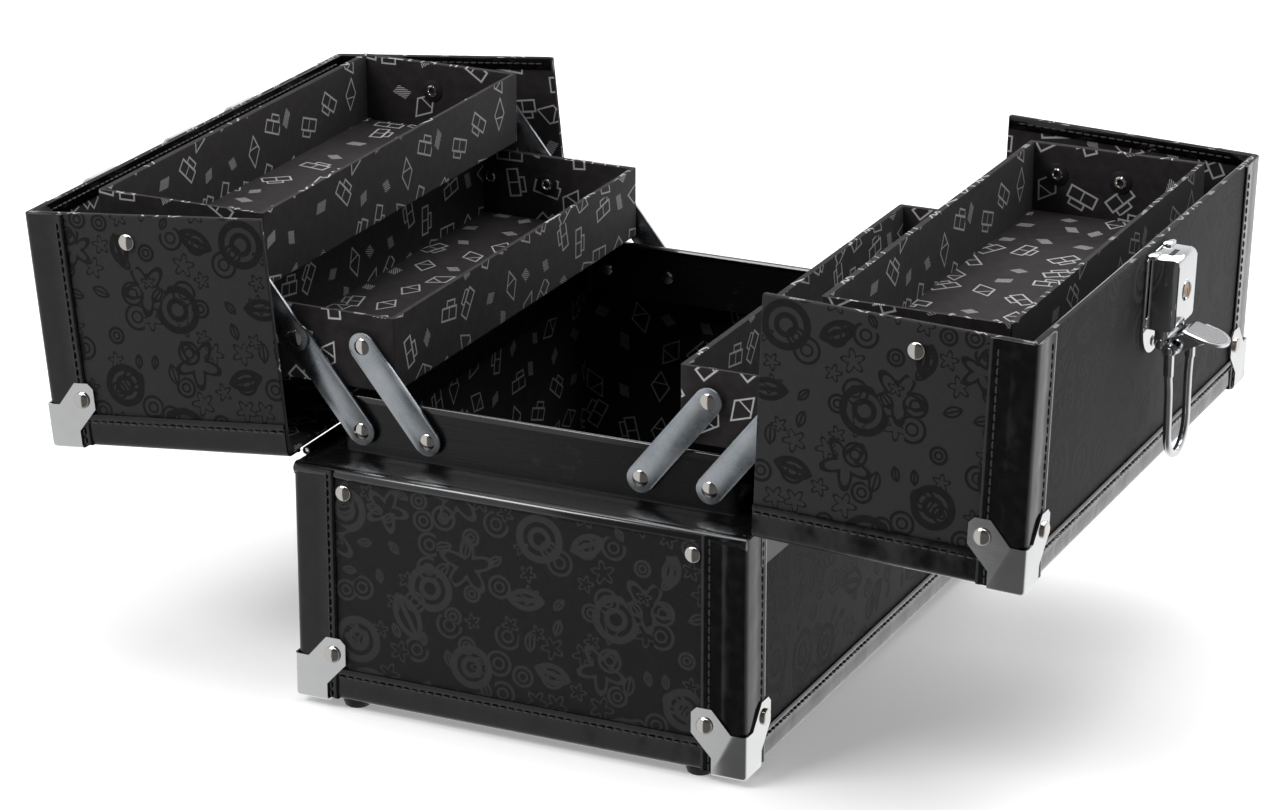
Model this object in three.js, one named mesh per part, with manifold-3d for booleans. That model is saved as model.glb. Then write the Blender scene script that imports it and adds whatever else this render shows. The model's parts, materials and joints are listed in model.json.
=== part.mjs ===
// A two-lid makeup train case, standing open, with cantilever trays on parallel links.
// Units are millimetres, +Z is up, Y runs along the case and the origin is on the floor
// under the middle of the base. "out" means away from the middle plane, to either side.
import * as THREE from "three";
import { mergeVertices } from "three/addons/utils/BufferGeometryUtils.js";
import Module from "manifold-3d";

const wasm = await Module();
wasm.setup();

// ---- driving dimensions ----
// PAST is how far a cutting solid runs beyond the piece it cuts.
const GAP = 0.3;
const PAST = 10;
const FOOT_HEIGHT = 6;
const CASE = { halfWidth: 125, halfLength: 166.5, baseHeight: 126, wall: 4.5, floor: 5 };
const RIM_Z = FOOT_HEIGHT + CASE.baseHeight;

// Lid hinge line, and the lid in its own frame: "a" runs from the hinge to the lid's top
// panel and "b" from its side panel to the middle of the case.
const HINGE = {
  x: 127.5, z: RIM_Z + 0.3, barrel: 2.2, bore: 1.5, pin: 1.1, pinInset: 1, halfLength: 150, knuckles: 6,
  sheet: 1, strap: 1.4, clear: 3.4, lap: 0.6, leafReach: 20,
};
const LID = { height: 139.5, reach: 127, sideFace: 2.5, panel: 3.2, rimGap: 0.3 };
const OPEN_TILT = { right: 2, left: 6 };

// Trays and their links, in the open pose. Leans are measured from the vertical.
const TRAY = { width: 97, height: 40, halfLength: 143, wall: 3, floor: 2.5, pivotHeight: 24 };
const TRAY_PIVOTS = { lower: [16.5, 54, 89.5], upper: [16.5, 52] };
const LOWER_TRAY = { inner: 79, bottom: 168 };
const LINK = { length: 58.2, lean: 38.5, radius: 6.8, thick: 1.5, pin: 2, bore: 2.6, spacer: 3.6 };
const LAYER_A = 144;
const LAYER_B = 146.3;
const LAYER_ARM = 151.2;
const RIVET = { radius: 4.4, height: 2, shoulder: 0.82, shoulderHeight: 0.65, tail: 4, sunk: 0.2 };
const LID_RIVET = { a: 80, b: 113 };
const ARM = { slotStart: 64.5, slotEnd: 82.5, slotRadius: 2.6, radius: 6.5, bend: 7, boss: 4 };

// The black metal frame round the mouth. Its flange lies just below the rim, and its legs
// stand inside the walls with a little play.
const FRAME = { endFace: 143.5, sideFace: 110, top: 164, sheet: 1.6, legDrop: 24, bead: 3, beadHeight: 2.1 };
const FRAME_PLAY = 0.5;
const FLANGE_TOP = RIM_Z - 0.1;
const LEG_FACE = {
  end: CASE.halfLength - CASE.wall - FRAME_PLAY,
  side: CASE.halfWidth - CASE.wall - FRAME_PLAY,
};
const FOOT = { insetX: 28, insetY: 10, top: 8.5, bottom: 6.5 };
const CAP = { sheet: 0.8, lip: 6 };

// The latch, on the right lid's top panel. "out" is how far a thing stands off that panel.
const LATCH = { y: 2, top: 124, plateWidth: 33, plateLength: 54, plate: 1.4 };
const LATCH_CASE = { width: 27, height: 38, depth: 15, fromTop: 0.5, chamfer: 4, round: 3 };
const EAR = { radius: 3.2, root: 2, sheet: 1.6, bore: 2 };
const LEVER = { out: 9.5, b: 79.5, hub: 3.2, width: 22, length: 30, sheet: 1.6, drop: 16, root: 7.5, rise: 8 };
// A cheek of the lever from its hub up to the paddle: along the paddle, and above the hub.
const LEVER_CHEEK = [[0, -3.1], [7, -3.4], [12, 0.5], [20, 8.4], [8, 8.4], [3, 3]];
const LEVER_PIN = { radius: 1.5, boss: 2.72 };
const BAIL = { fromHub: 6.2, halfWidth: 16.5, length: 60, wire: 2.1, start: 3, straight: 14 };
const BAIL_EYE = { radius: 3.6, bore: 1.5 };
const BAIL_AXLE = { radius: 1.1, play: 0.4 };
const PLUG = { radius: 4.2, b: 105, depth: 6, proud: 0.5, play: 0.4 };
const KEYWAY = { halfWidth: 0.6, deep: 3, low: 3, high: 1 };

// The catch and the carrying handle, on the left lid's top panel.
const CATCH = { width: 26, low: 103, high: 124, out: 12, sheet: 2 };
const CATCH_HOOK = { throat: 112, out: 8, drop: 4, round: 4 };
const HANDLE = { y: -6, out: 9, b: 115, pin: 2.4, pinRoot: 3, pinReach: 10, fall: 44, clear: 5.5 };
const GRIP_SECTION = { width: 4.6, height: 3.6, sides: 8, steps: 24 };
const BRACKET = { offset: 74, width: 26, half: 9, flat: 8, front: 13, low: 4, high: 5 };
const BRACKET_SOCKET = { depth: 8, play: 0.5 };
// The grip's path from a pin inwards: the distance in, and the share of the fall there.
const GRIP_SHOULDER = [[0, 0], [9, 0.03], [17, 0.3], [21, 0.65], [30, 0.97]];

const rad = THREE.MathUtils.degToRad;
const LINK_RUN = LINK.length * Math.sin(rad(LINK.lean));
const LINK_RISE = LINK.length * Math.cos(rad(LINK.lean));
const UPPER_TRAY = {
  inner: LOWER_TRAY.inner + TRAY_PIVOTS.lower[1] - TRAY_PIVOTS.upper[0] + LINK_RUN,
  bottom: LOWER_TRAY.bottom + LINK_RISE,
};

// ---- materials ----
const finish = (color, roughness, metalness) =>
  new THREE.MeshStandardMaterial({ color, roughness, metalness });
const jacquard = finish(0x1b1b1e, 0.75, 0);
const lining = finish(0x29272b, 0.85, 0);
const patent = finish(0x0b0b0c, 0.12, 0);
const blackMetal = finish(0x111214, 0.35, 0.8);
const zinc = finish(0x9fa7ac, 0.4, 0.9);
const chrome = finish(0xd9dbdd, 0.1, 1);
const steel = finish(0xc6c8ca, 0.3, 1);
const brass = finish(0x9a6a34, 0.35, 0.9);
const rubber = finish(0x0c0c0c, 0.85, 0);

// ---- solids ----
function solid(geometry) {
  const bare = geometry.clone();
  bare.deleteAttribute("normal");
  bare.deleteAttribute("uv");
  const merged = mergeVertices(bare, 1e-4);
  return new wasm.Manifold(
    new wasm.Mesh({
      numProp: 3,
      vertProperties: merged.attributes.position.array,
      triVerts: new Uint32Array(merged.index.array),
    }),
  );
}

function geometryOf(manifold) {
  const mesh = manifold.getMesh();
  const geometry = new THREE.BufferGeometry();
  geometry.setAttribute("position", new THREE.BufferAttribute(new Float32Array(mesh.vertProperties), 3));
  geometry.setIndex(new THREE.BufferAttribute(new Uint32Array(mesh.triVerts), 1));
  return geometry;
}

const join = (parts) => parts.reduce((whole, piece) => whole.add(piece));

function box(x0, x1, y0, y1, z0, z1) {
  const size = [Math.abs(x1 - x0), Math.abs(y1 - y0), Math.abs(z1 - z0)];
  const geometry = new THREE.BoxGeometry(...size);
  geometry.translate((x0 + x1) / 2, (y0 + y1) / 2, (z0 + z1) / 2);
  return solid(geometry);
}

// A plate whose outline lies in the XZ plane, from y0 to y1.
function plate(outline, y0, y1) {
  const depth = Math.abs(y1 - y0);
  const geometry = new THREE.ExtrudeGeometry(outline, { depth, bevelEnabled: false, curveSegments: 5 });
  geometry.rotateX(Math.PI / 2);
  geometry.translate(0, Math.max(y0, y1), 0);
  return solid(geometry);
}

// A plate whose outline lies in the YZ plane, from x0 to x1.
function platePlumb(outline, x0, x1) {
  const geometry = new THREE.ExtrudeGeometry(outline, { depth: Math.abs(x1 - x0), bevelEnabled: false });
  const along = [new THREE.Vector3(0, 1, 0), new THREE.Vector3(0, 0, 1), new THREE.Vector3(1, 0, 0)];
  geometry.applyMatrix4(new THREE.Matrix4().makeBasis(...along));
  geometry.translate(Math.min(x0, x1), 0, 0);
  return solid(geometry);
}

// A cylinder along Y, and one whose end is domed like a rivet head.
function rod(x, z, y0, y1, radius, sides = 8) {
  const geometry = new THREE.CylinderGeometry(radius, radius, Math.abs(y1 - y0), sides);
  geometry.translate(x, (y0 + y1) / 2, z);
  return solid(geometry);
}

function rivetHead(x, z, y, toward) {
  const { radius, height, shoulder, shoulderHeight } = RIVET;
  const profile = [
    new THREE.Vector2(0, 0),
    new THREE.Vector2(radius, 0),
    new THREE.Vector2(radius * shoulder, height * shoulderHeight),
    new THREE.Vector2(0, height),
  ];
  const geometry = new THREE.LatheGeometry(profile, 9);
  if (toward < 0) geometry.rotateX(Math.PI);
  geometry.translate(x, y, z);
  return solid(geometry);
}

function polygon(points) {
  return new THREE.Shape(points.map(([x, z]) => new THREE.Vector2(x, z)));
}

function stadium(start, end, radius) {
  const angle = Math.atan2(end[1] - start[1], end[0] - start[0]);
  const shape = new THREE.Shape();
  shape.absarc(end[0], end[1], radius, angle - Math.PI / 2, angle + Math.PI / 2, false);
  shape.absarc(start[0], start[1], radius, angle + Math.PI / 2, angle + Math.PI * 1.5, false);
  shape.closePath();
  return shape;
}

function sweep(points, section, steps) {
  const curve = new THREE.CatmullRomCurve3(points.map((p) => new THREE.Vector3(...p)), false, "centripetal");
  return solid(new THREE.ExtrudeGeometry(section, { steps, extrudePath: curve, bevelEnabled: false }));
}

function roundSection(width, height, sides) {
  const ring = [];
  for (let i = 0; i < sides; i++) {
    const angle = (i / sides) * Math.PI * 2;
    ring.push([Math.cos(angle) * width, Math.sin(angle) * height]);
  }
  return polygon(ring);
}

const model = new THREE.Group();

function put(group, name, material, manifold) {
  const mesh = new THREE.Mesh(geometryOf(manifold), material);
  mesh.name = name;
  group.add(mesh);
  return mesh;
}

const ENDS = { front: -1, rear: 1 };
const SIDES = { right: 1, left: -1 };

// ---- corner caps: two eared faces and a narrow lip, bent from one sheet ----
const CAP_OUTLINE = [[0, 0], [19, 0], [19, 10], [30, 22], [30, 33], [27, 36], [19, 36], [8.5, 24], [0, 24]];

// The corner is at (x, y, z), and sx, sy and sz point from it into the case.
function cornerCap(x, y, z, sx, sy, sz) {
  const far = CAP.sheet + GAP;
  const reach = (corner, sign, along) => corner + sign * (along > 0 ? along : -far);
  const endFace = CAP_OUTLINE.map(([u, w]) => [reach(x, sx, u), reach(z, sz, w)]);
  const sideFace = CAP_OUTLINE.map(([u, w]) => [reach(y, sy, u), reach(z, sz, w)]);
  return join([
    plate(polygon(endFace), y - sy * GAP, y - sy * far),
    platePlumb(polygon(sideFace), x - sx * GAP, x - sx * far),
    box(x - sx * far, x + sx * CAP.lip, y - sy * far, y + sy * CAP.lip, z - sz * far, z - sz * GAP),
  ]);
}

// ---- base ----
function buildBase() {
  const base = new THREE.Group();
  const { halfWidth, halfLength, wall, floor } = CASE;
  const outside = box(-halfWidth, halfWidth, -halfLength, halfLength, FOOT_HEIGHT, RIM_Z);
  const hollow = box(wall - halfWidth, halfWidth - wall, wall - halfLength, halfLength - wall,
    FOOT_HEIGHT + floor, RIM_Z + PAST);
  put(base, "base_shell", jacquard, outside.subtract(hollow));
  for (const [end, sy] of Object.entries(ENDS)) {
    put(base, `frame_rail_${end}`, blackMetal, endRail(sy));
    for (const [side, sx] of Object.entries(SIDES)) {
      put(base, `base_corner_cap_${end}_${side}`, steel,
        cornerCap(sx * halfWidth, sy * halfLength, FOOT_HEIGHT, -sx, -sy, 1));
      put(base, `foot_${end}_${side}`, rubber, foot(sx, sy));
    }
  }
  for (const [side, sx] of Object.entries(SIDES)) {
    put(base, `frame_rail_${side}`, blackMetal, sideRail(sx));
    put(base, `hinge_base_leaf_${side}`, steel, hingeBaseLeaf(sx));
    const pinEnd = HINGE.halfLength - HINGE.pinInset;
    put(base, `hinge_pin_${side}`, steel, rod(sx * HINGE.x, HINGE.z, -pinEnd, pinEnd, HINGE.pin));
  }
  model.add(base);
}

// The frame's sheet: upright, flange level with the rim, and a leg down inside the wall.
function endRail(sy) {
  const { endFace, sideFace, top, sheet, legDrop, bead, beadHeight } = FRAME;
  const { end: legFace, side: flangeEnd } = LEG_FACE;
  const low = FLANGE_TOP - sheet;
  const upright = box(-sideFace, sideFace, sy * (endFace - sheet), sy * endFace, low, top);
  const rolled = box(-sideFace, sideFace, sy * (endFace - bead), sy * endFace, top - beadHeight, top);
  const flange = box(-flangeEnd, flangeEnd, sy * (endFace - sheet), sy * legFace, low, FLANGE_TOP);
  const foot = FLANGE_TOP - legDrop;
  const leg = box(-flangeEnd, flangeEnd, sy * (legFace - sheet), sy * legFace, foot, FLANGE_TOP);
  const holes = [];
  for (const sx of Object.values(SIDES)) {
    for (const offset of TRAY_PIVOTS.lower.slice(0, 2)) {
      const x = sx * (LOWER_TRAY.inner + offset - LINK_RUN);
      holes.push(rod(x, basePivotZ(), sy * (endFace - PAST), sy * (endFace + PAST), LINK.bore));
    }
  }
  return join([upright, rolled, flange, leg]).subtract(join(holes));
}

function sideRail(sx) {
  const { endFace, sideFace, top, sheet, legDrop, bead, beadHeight } = FRAME;
  const legFace = LEG_FACE.side;
  const reach = endFace - bead - GAP;
  const low = FLANGE_TOP - sheet;
  const upright = box(sx * (sideFace - sheet), sx * sideFace, -reach, reach, low, top);
  const rolled = box(sx * (sideFace - bead), sx * sideFace, -reach, reach, top - beadHeight, top);
  const flange = box(sx * (sideFace - sheet), sx * legFace, -reach, reach, low, FLANGE_TOP);
  const leg = box(sx * (legFace - sheet), sx * legFace, -reach, reach, FLANGE_TOP - legDrop, FLANGE_TOP);
  return join([upright, rolled, flange, leg]);
}

function foot(sx, sy) {
  const geometry = new THREE.CylinderGeometry(FOOT.top, FOOT.bottom, FOOT_HEIGHT - GAP, 12);
  geometry.rotateX(Math.PI / 2);
  geometry.translate(sx * (CASE.halfWidth - FOOT.insetX), sy * (CASE.halfLength - FOOT.insetY),
    (FOOT_HEIGHT - GAP) / 2);
  return solid(geometry);
}

// ---- piano hinges: alternate knuckles belong to the base leaf and the lid leaf ----
// Every second knuckle's start and end along Y, counted from the given one.
function knuckleSpans(first) {
  const pitch = (2 * HINGE.halfLength) / HINGE.knuckles;
  const spans = [];
  for (let i = first; i < HINGE.knuckles; i += 2) {
    const start = -HINGE.halfLength + i * pitch + GAP / 2;
    spans.push([start, start + pitch - GAP]);
  }
  return spans;
}

function hingeBaseLeaf(sx) {
  const { x, z, barrel, bore, halfLength, sheet, strap, clear, lap, leafReach } = HINGE;
  const near = CASE.halfWidth + GAP;
  const leaf = box(sx * near, sx * (near + sheet), -halfLength, halfLength, RIM_Z - leafReach, z - clear);
  const parts = knuckleSpans(0).flatMap(([start, end]) => [
    rod(sx * x, z, start, end, barrel),
    box(sx * near, sx * (near + strap), start, end, z - clear - lap, z),
  ]);
  return join([leaf, ...parts]).subtract(rod(sx * x, z, -halfLength - PAST, halfLength + PAST, bore));
}

// In the lid's frame the lid leaf lies on the side panel's outer face.
function hingeLidLeaf(sx) {
  const { barrel, bore, halfLength, sheet, strap, clear, lap, leafReach } = HINGE;
  const face = LID.sideFace - GAP;
  const leaf = box(sx * clear, sx * leafReach, -halfLength, halfLength, face - sheet, face);
  const parts = knuckleSpans(1).flatMap(([start, end]) => [
    rod(0, 0, start, end, barrel),
    box(0, sx * (clear + lap), start, end, face - strap, face),
  ]);
  return join([leaf, ...parts]).subtract(rod(0, 0, -halfLength - PAST, halfLength + PAST, bore));
}

// ---- lids, each in a group whose origin is on its hinge line ----
function buildLid(side, sx) {
  const lid = new THREE.Group();
  lid.position.set(sx * HINGE.x, 0, HINGE.z);
  lid.rotation.y = sx * rad(OPEN_TILT[side]);
  put(lid, `lid_shell_${side}`, jacquard, lidShell(sx));
  put(lid, `hinge_lid_leaf_${side}`, steel, hingeLidLeaf(sx));
  for (const [end, sy] of Object.entries(ENDS)) {
    put(lid, `lid_corner_cap_${end}_${side}`, steel,
      cornerCap(sx * LID.height, sy * CASE.halfLength, LID.sideFace, -sx, -sy, 1));
    put(lid, `lid_arm_${end}_${side}`, chrome, lidArm(side, sx, sy));
  }
  model.add(lid);
  return lid;
}

function lidShell(sx) {
  const { height, reach, sideFace, panel, rimGap } = LID;
  const { halfLength } = CASE;
  const outside = box(sx * rimGap, sx * height, -halfLength, halfLength, sideFace, reach);
  const hollow = box(sx * (rimGap - PAST), sx * (height - panel), panel - halfLength, halfLength - panel,
    sideFace + panel, reach + PAST);
  const holes = Object.values(ENDS).map((sy) =>
    rod(sx * LID_RIVET.a, LID_RIVET.b, sy * (halfLength - PAST), sy * (halfLength + PAST), LINK.bore));
  return outside.subtract(hollow).subtract(join(holes));
}

// Where the lower tray's outermost pivot is, in the lid's frame.
function stayTarget(side) {
  const tilt = rad(OPEN_TILT[side]);
  const x = LOWER_TRAY.inner + TRAY_PIVOTS.lower[2] - HINGE.x;
  const z = LOWER_TRAY.bottom + TRAY.pivotHeight - HINGE.z;
  return [x * Math.cos(tilt) - z * Math.sin(tilt), x * Math.sin(tilt) + z * Math.cos(tilt)];
}

// A bowed flat arm, riveted to the lid's end panel, with a slot at its free end.
function lidArm(side, sx, sy) {
  const target = stayTarget(side);
  const away = Math.atan2(target[1] - LID_RIVET.b, target[0] - LID_RIVET.a);
  const along = (distance, across) => [
    sx * (LID_RIVET.a + distance * Math.cos(away) - across * Math.sin(away)),
    LID_RIVET.b + distance * Math.sin(away) + across * Math.cos(away),
  ];
  const { slotStart, slotEnd, slotRadius, radius, bend } = ARM;
  const y0 = sy * LAYER_ARM;
  const y1 = sy * (LAYER_ARM + LINK.thick);
  const steps = [0, 0.2, 0.4, 0.6, 0.8, 1];
  const edge = (t, offset) => along(slotStart * t, bend * Math.sin(Math.PI * t) + offset);
  const outline = [...steps.map((t) => edge(t, radius)), ...steps.reverse().map((t) => edge(t, -radius))];
  const pieces = [
    plate(polygon(sx > 0 ? outline : outline.reverse()), y0, y1),
    plate(stadium(along(0, 0), along(1, 0), radius), y0, y1),
    plate(stadium(along(slotStart, 0), along(slotEnd, 0), radius), y0, y1),
  ];
  const slot = plate(stadium(along(slotStart, 0), along(slotEnd, 0), slotRadius), y0 - sy, y1 + sy);
  const [x, z] = along(0, 0);
  const boss = rod(x, z, y1 - sy * RIVET.sunk, sy * (CASE.halfLength - LID.panel - GAP), ARM.boss);
  const shank = rod(x, z, y1, sy * (CASE.halfLength + GAP + RIVET.sunk), LINK.pin);
  const head = rivetHead(x, z, sy * (CASE.halfLength + GAP), sy);
  return join([...pieces, boss, shank, head]).subtract(slot);
}

// ---- trays ----
function buildTray(name, sx, place, pivots) {
  const { width, height, halfLength, wall, floor, pivotHeight } = TRAY;
  const inner = sx * place.inner;
  const outer = sx * (place.inner + width);
  const outside = box(inner, outer, -halfLength, halfLength, place.bottom, place.bottom + height);
  const hollow = box(inner + sx * wall, outer - sx * wall, wall - halfLength, halfLength - wall,
    place.bottom + floor, place.bottom + height + PAST);
  const through = [halfLength - PAST, halfLength + PAST];
  const holes = pivots.flatMap((offset) => Object.values(ENDS).map((sy) =>
    rod(inner + sx * offset, place.bottom + pivotHeight, sy * through[0], sy * through[1], LINK.bore)));
  put(model, name, lining, outside.subtract(hollow).subtract(join(holes)));
}

// ---- links ----
const basePivotZ = () => LOWER_TRAY.bottom + TRAY.pivotHeight - LINK_RISE;
const pivotX = (place, offset) => place.inner + offset;

// One strap from foot to head; each end either carries a rivet through the wall or a bore.
function link(sx, sy, foot, head, layer, ends) {
  const start = [sx * foot[0], foot[1]];
  const end = [sx * head[0], head[1]];
  const y0 = sy * layer;
  const y1 = sy * (layer + LINK.thick);
  let strap = plate(stadium(start, end, LINK.radius), y0, y1);
  [start, end].forEach(([x, z], i) => {
    if (ends[i] === "bore") {
      strap = strap.subtract(rod(x, z, y0 - sy * GAP, y1 + sy * GAP, LINK.bore));
      return;
    }
    strap = strap.add(rod(x, z, y1, sy * (TRAY.halfLength - RIVET.tail), LINK.pin));
    strap = strap.add(rivetHead(x, z, y1, sy));
    if (ends[i] === "spaced") {
      strap = strap.add(rod(x, z, y0 + sy * RIVET.sunk, sy * (TRAY.halfLength + GAP), LINK.spacer));
    }
  });
  return strap;
}

function buildLinks(side, sx) {
  const trayZ = LOWER_TRAY.bottom + TRAY.pivotHeight;
  const upperZ = UPPER_TRAY.bottom + TRAY.pivotHeight;
  const [near, middle, far] = TRAY_PIVOTS.lower.map((offset) => pivotX(LOWER_TRAY, offset));
  const [upperNear, upperFar] = TRAY_PIVOTS.upper.map((offset) => pivotX(UPPER_TRAY, offset));
  for (const [end, sy] of Object.entries(ENDS)) {
    put(model, `lower_link_inner_${end}_${side}`, zinc,
      link(sx, sy, [near - LINK_RUN, basePivotZ()], [near, trayZ], LAYER_A, ["rivet", "rivet"]));
    put(model, `lower_link_outer_${end}_${side}`, zinc,
      link(sx, sy, [middle - LINK_RUN, basePivotZ()], [middle, trayZ], LAYER_A, ["rivet", "bore"]));
    put(model, `upper_link_inner_${end}_${side}`, zinc,
      link(sx, sy, [middle, trayZ], [upperNear, upperZ], LAYER_B, ["rivet", "spaced"]));
    put(model, `upper_link_outer_${end}_${side}`, zinc,
      link(sx, sy, [far, trayZ], [upperFar, upperZ], LAYER_B, ["spaced", "spaced"]));
  }
}

// ---- latch, on the right lid's top panel ----
const latchNear = () => LID.height + GAP + LATCH.plate + GAP;

// A round bar standing out of the panel, for the plug and its hole.
function stud(radius, b, y, out0, out1) {
  const geometry = new THREE.CylinderGeometry(radius, radius, out1 - out0, 16);
  geometry.rotateZ(Math.PI / 2);
  geometry.translate((out0 + out1) / 2, y, b);
  return solid(geometry);
}

function buildLatch(lid) {
  const face = LID.height + GAP;
  const { y, top, plateWidth, plateLength, plate: sheet } = LATCH;
  const round = plateWidth / 2;
  const backing = box(face, face + sheet, y - round, y + round, top - plateLength + round, top);
  const tongue = stud(round, top - plateLength + round, y, face, face + sheet);
  put(lid, "latch_plate", chrome, backing.add(tongue));

  const out = latchNear() + LATCH_CASE.depth;
  put(lid, "latch_case", chrome, latchCase(out));
  const plug = stud(PLUG.radius, PLUG.b, y, out - PLUG.depth, out + PLUG.proud);
  const { halfWidth, deep, low, high } = KEYWAY;
  const keyway = box(out - deep, out + PAST, y - halfWidth, y + halfWidth, PLUG.b - low, PLUG.b + high);
  put(lid, "lock_plug", brass, plug.subtract(keyway));
  put(lid, "latch_lever", chrome, lever());
  put(lid, "latch_bail", chrome, bail());
}

// A block with two ears below it that carry the lever's pin.
function latchCase(out) {
  const near = latchNear();
  const { width, height, fromTop, chamfer, round } = LATCH_CASE;
  const top = LATCH.top - fromTop;
  const low = top - height;
  const profile = [[near, low], [out - chamfer, low], [out, low + chamfer], [out, top - round],
    [out - round, top], [near, top]];
  const block = plate(polygon(profile), LATCH.y - width / 2, LATCH.y + width / 2);
  const hub = [LID.height + GAP + LEVER.out, LEVER.b];
  const ears = [-1, 1].map((sy) => {
    const outer = LATCH.y + (sy * width) / 2;
    return plate(stadium(hub, [hub[0], low + EAR.root], EAR.radius), outer - sy * EAR.sheet, outer);
  });
  const pinHole = rod(hub[0], hub[1], LATCH.y - width, LATCH.y + width, EAR.bore);
  const { radius, b, depth, play } = PLUG;
  const plugHole = stud(radius + play, b, LATCH.y, out - depth - play, out + PAST);
  return join([block, ...ears]).subtract(pinHole).subtract(plugHole);
}

// The lever and the bail lie in the world's plumb plane, so the lid's tilt is taken out.
const leverAngle = () => rad(OPEN_TILT.right - LEVER.drop);

// A point of the lever's side view, from the distance along the paddle and above the hub.
function fromHub(along, above) {
  const angle = leverAngle();
  const x = LID.height + GAP + LEVER.out;
  return [
    x + along * Math.cos(angle) - above * Math.sin(angle),
    LEVER.b + along * Math.sin(angle) + above * Math.cos(angle),
  ];
}

const bailPivot = () => fromHub(BAIL.fromHub, 0);

// A broad paddle held above its hub by two cheeks, with an axle for the bail.
function lever() {
  const x = LID.height + GAP + LEVER.out;
  const half = LEVER.width / 2;
  const outline = new THREE.Shape();
  outline.moveTo(LEVER.root, -half);
  outline.lineTo(LEVER.length - half, -half);
  outline.absarc(LEVER.length - half, 0, half, -Math.PI / 2, Math.PI / 2, false);
  outline.lineTo(LEVER.root, half);
  outline.closePath();
  const options = { depth: LEVER.sheet, bevelEnabled: false, curveSegments: 8 };
  const paddle = new THREE.ExtrudeGeometry(outline, options);
  paddle.translate(0, 0, LEVER.rise);
  paddle.rotateY(-leverAngle());
  paddle.translate(x, LATCH.y, LEVER.b);
  const cheek = polygon(LEVER_CHEEK.map(([along, above]) => fromHub(along, above)));
  const cheeks = [-1, 1].map((sy) =>
    plate(cheek, LATCH.y + sy * (half - LEVER.sheet), LATCH.y + sy * half));
  const hub = rod(x, LEVER.b, LATCH.y - half, LATCH.y + half, LEVER.hub, 12);
  const pin = rod(x, LEVER.b, LATCH.y - LATCH_CASE.width / 2, LATCH.y + LATCH_CASE.width / 2, LEVER_PIN.radius);
  const [px, pz] = bailPivot();
  const boss = rod(px, pz, LATCH.y - half, LATCH.y + half, LEVER_PIN.boss, 12);
  const axle = rod(px, pz, LATCH.y - BAIL.halfWidth, LATCH.y + BAIL.halfWidth, BAIL_AXLE.radius);
  return join([solid(paddle), ...cheeks, hub, pin, boss, axle]);
}

// A wire loop hanging plumb from an eye at each end of the lever's axle.
function bail() {
  const [x, z] = bailPivot();
  const tilt = rad(OPEN_TILT.right);
  const { halfWidth, length, wire, start, straight } = BAIL;
  const hang = (across, drop) => [x + drop * Math.sin(tilt), LATCH.y + across, z - drop * Math.cos(tilt)];
  const bend = [];
  for (let i = 0; i <= 6; i++) {
    const angle = (i / 6) * Math.PI;
    bend.push(hang(-halfWidth * Math.cos(angle), length - halfWidth + halfWidth * Math.sin(angle)));
  }
  const leg = (across) => [hang(across, start), hang(across, straight)];
  const path = [...leg(-halfWidth), ...bend, ...leg(halfWidth).reverse()];
  const loop = sweep(path, roundSection(wire, wire, 6), 24);
  const inside = LATCH_CASE.width / 2 + BAIL_AXLE.play;
  const outside = halfWidth + wire;
  const eyes = [-1, 1].map((sy) =>
    rod(x, z, LATCH.y + sy * inside, LATCH.y + sy * outside, BAIL_EYE.radius, 12));
  const bore = rod(x, z, LATCH.y - outside - PAST, LATCH.y + outside + PAST, BAIL_EYE.bore);
  return join([loop, ...eyes]).subtract(bore);
}

// ---- catch and handle, on the left lid's top panel ----
function buildHandle(lid) {
  const face = -(LID.height + GAP);
  const { y, out, b, pin } = HANDLE;
  const { offset, width, half, flat, front, low, high } = BRACKET;
  const { depth, play } = BRACKET_SOCKET;
  const profile = [[face, b - half], [face - flat, b - half], [face - front, b - low],
    [face - front, b + high], [face - out, b + half], [face, b + half]];
  for (const [end, sy] of Object.entries(ENDS)) {
    const middle = y + sy * offset;
    const inner = middle - (sy * width) / 2;
    const bore = rod(face - out, b, inner - sy * GAP, inner + sy * depth, pin + play);
    const block = plate(polygon(profile), middle - width / 2, middle + width / 2);
    put(lid, `handle_bracket_${end}`, chrome, block.subtract(bore));
  }
  put(lid, "handle_grip", patent, grip(face));
  put(lid, "latch_catch", chrome, latchCatch(face));
}

// A block with a lip that holds the bail's loop.
function latchCatch(face) {
  const { width, low, high, out, sheet } = CATCH;
  const { throat, out: hook, drop, round } = CATCH_HOOK;
  const profile = [[face, low], [face - sheet, low], [face - sheet, throat], [face - hook, throat],
    [face - hook, throat - drop], [face - out, throat - drop], [face - out, high - round],
    [face - out + round, high], [face, high]];
  return plate(polygon(profile), LATCH.y - width / 2, LATCH.y + width / 2);
}

// The grip hangs plumb from its two pins, with level shoulders and a lower middle.
function grip(face) {
  const { y, out, b, fall, pin, clear, pinRoot, pinReach } = HANDLE;
  const tilt = rad(OPEN_TILT.left);
  const x = face - out;
  const arm = BRACKET.offset - BRACKET.width / 2 - clear;
  const half = GRIP_SHOULDER.map(([inwards, share]) => [arm - inwards, fall * share]);
  const hang = ([across, drop]) => [x - drop * Math.sin(tilt), y + across, b - drop * Math.cos(tilt)];
  const other = half.map(([across, drop]) => [-across, drop]);
  const path = [...other, [0, fall], ...half.reverse()].map(hang);
  const { width, height, sides, steps } = GRIP_SECTION;
  const bar = sweep(path, roundSection(width, height, sides), steps);
  const pins = [-1, 1].map((sy) => rod(x, b, y + sy * (arm - pinRoot), y + sy * (arm + pinReach), pin));
  return join([bar, ...pins]);
}

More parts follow.
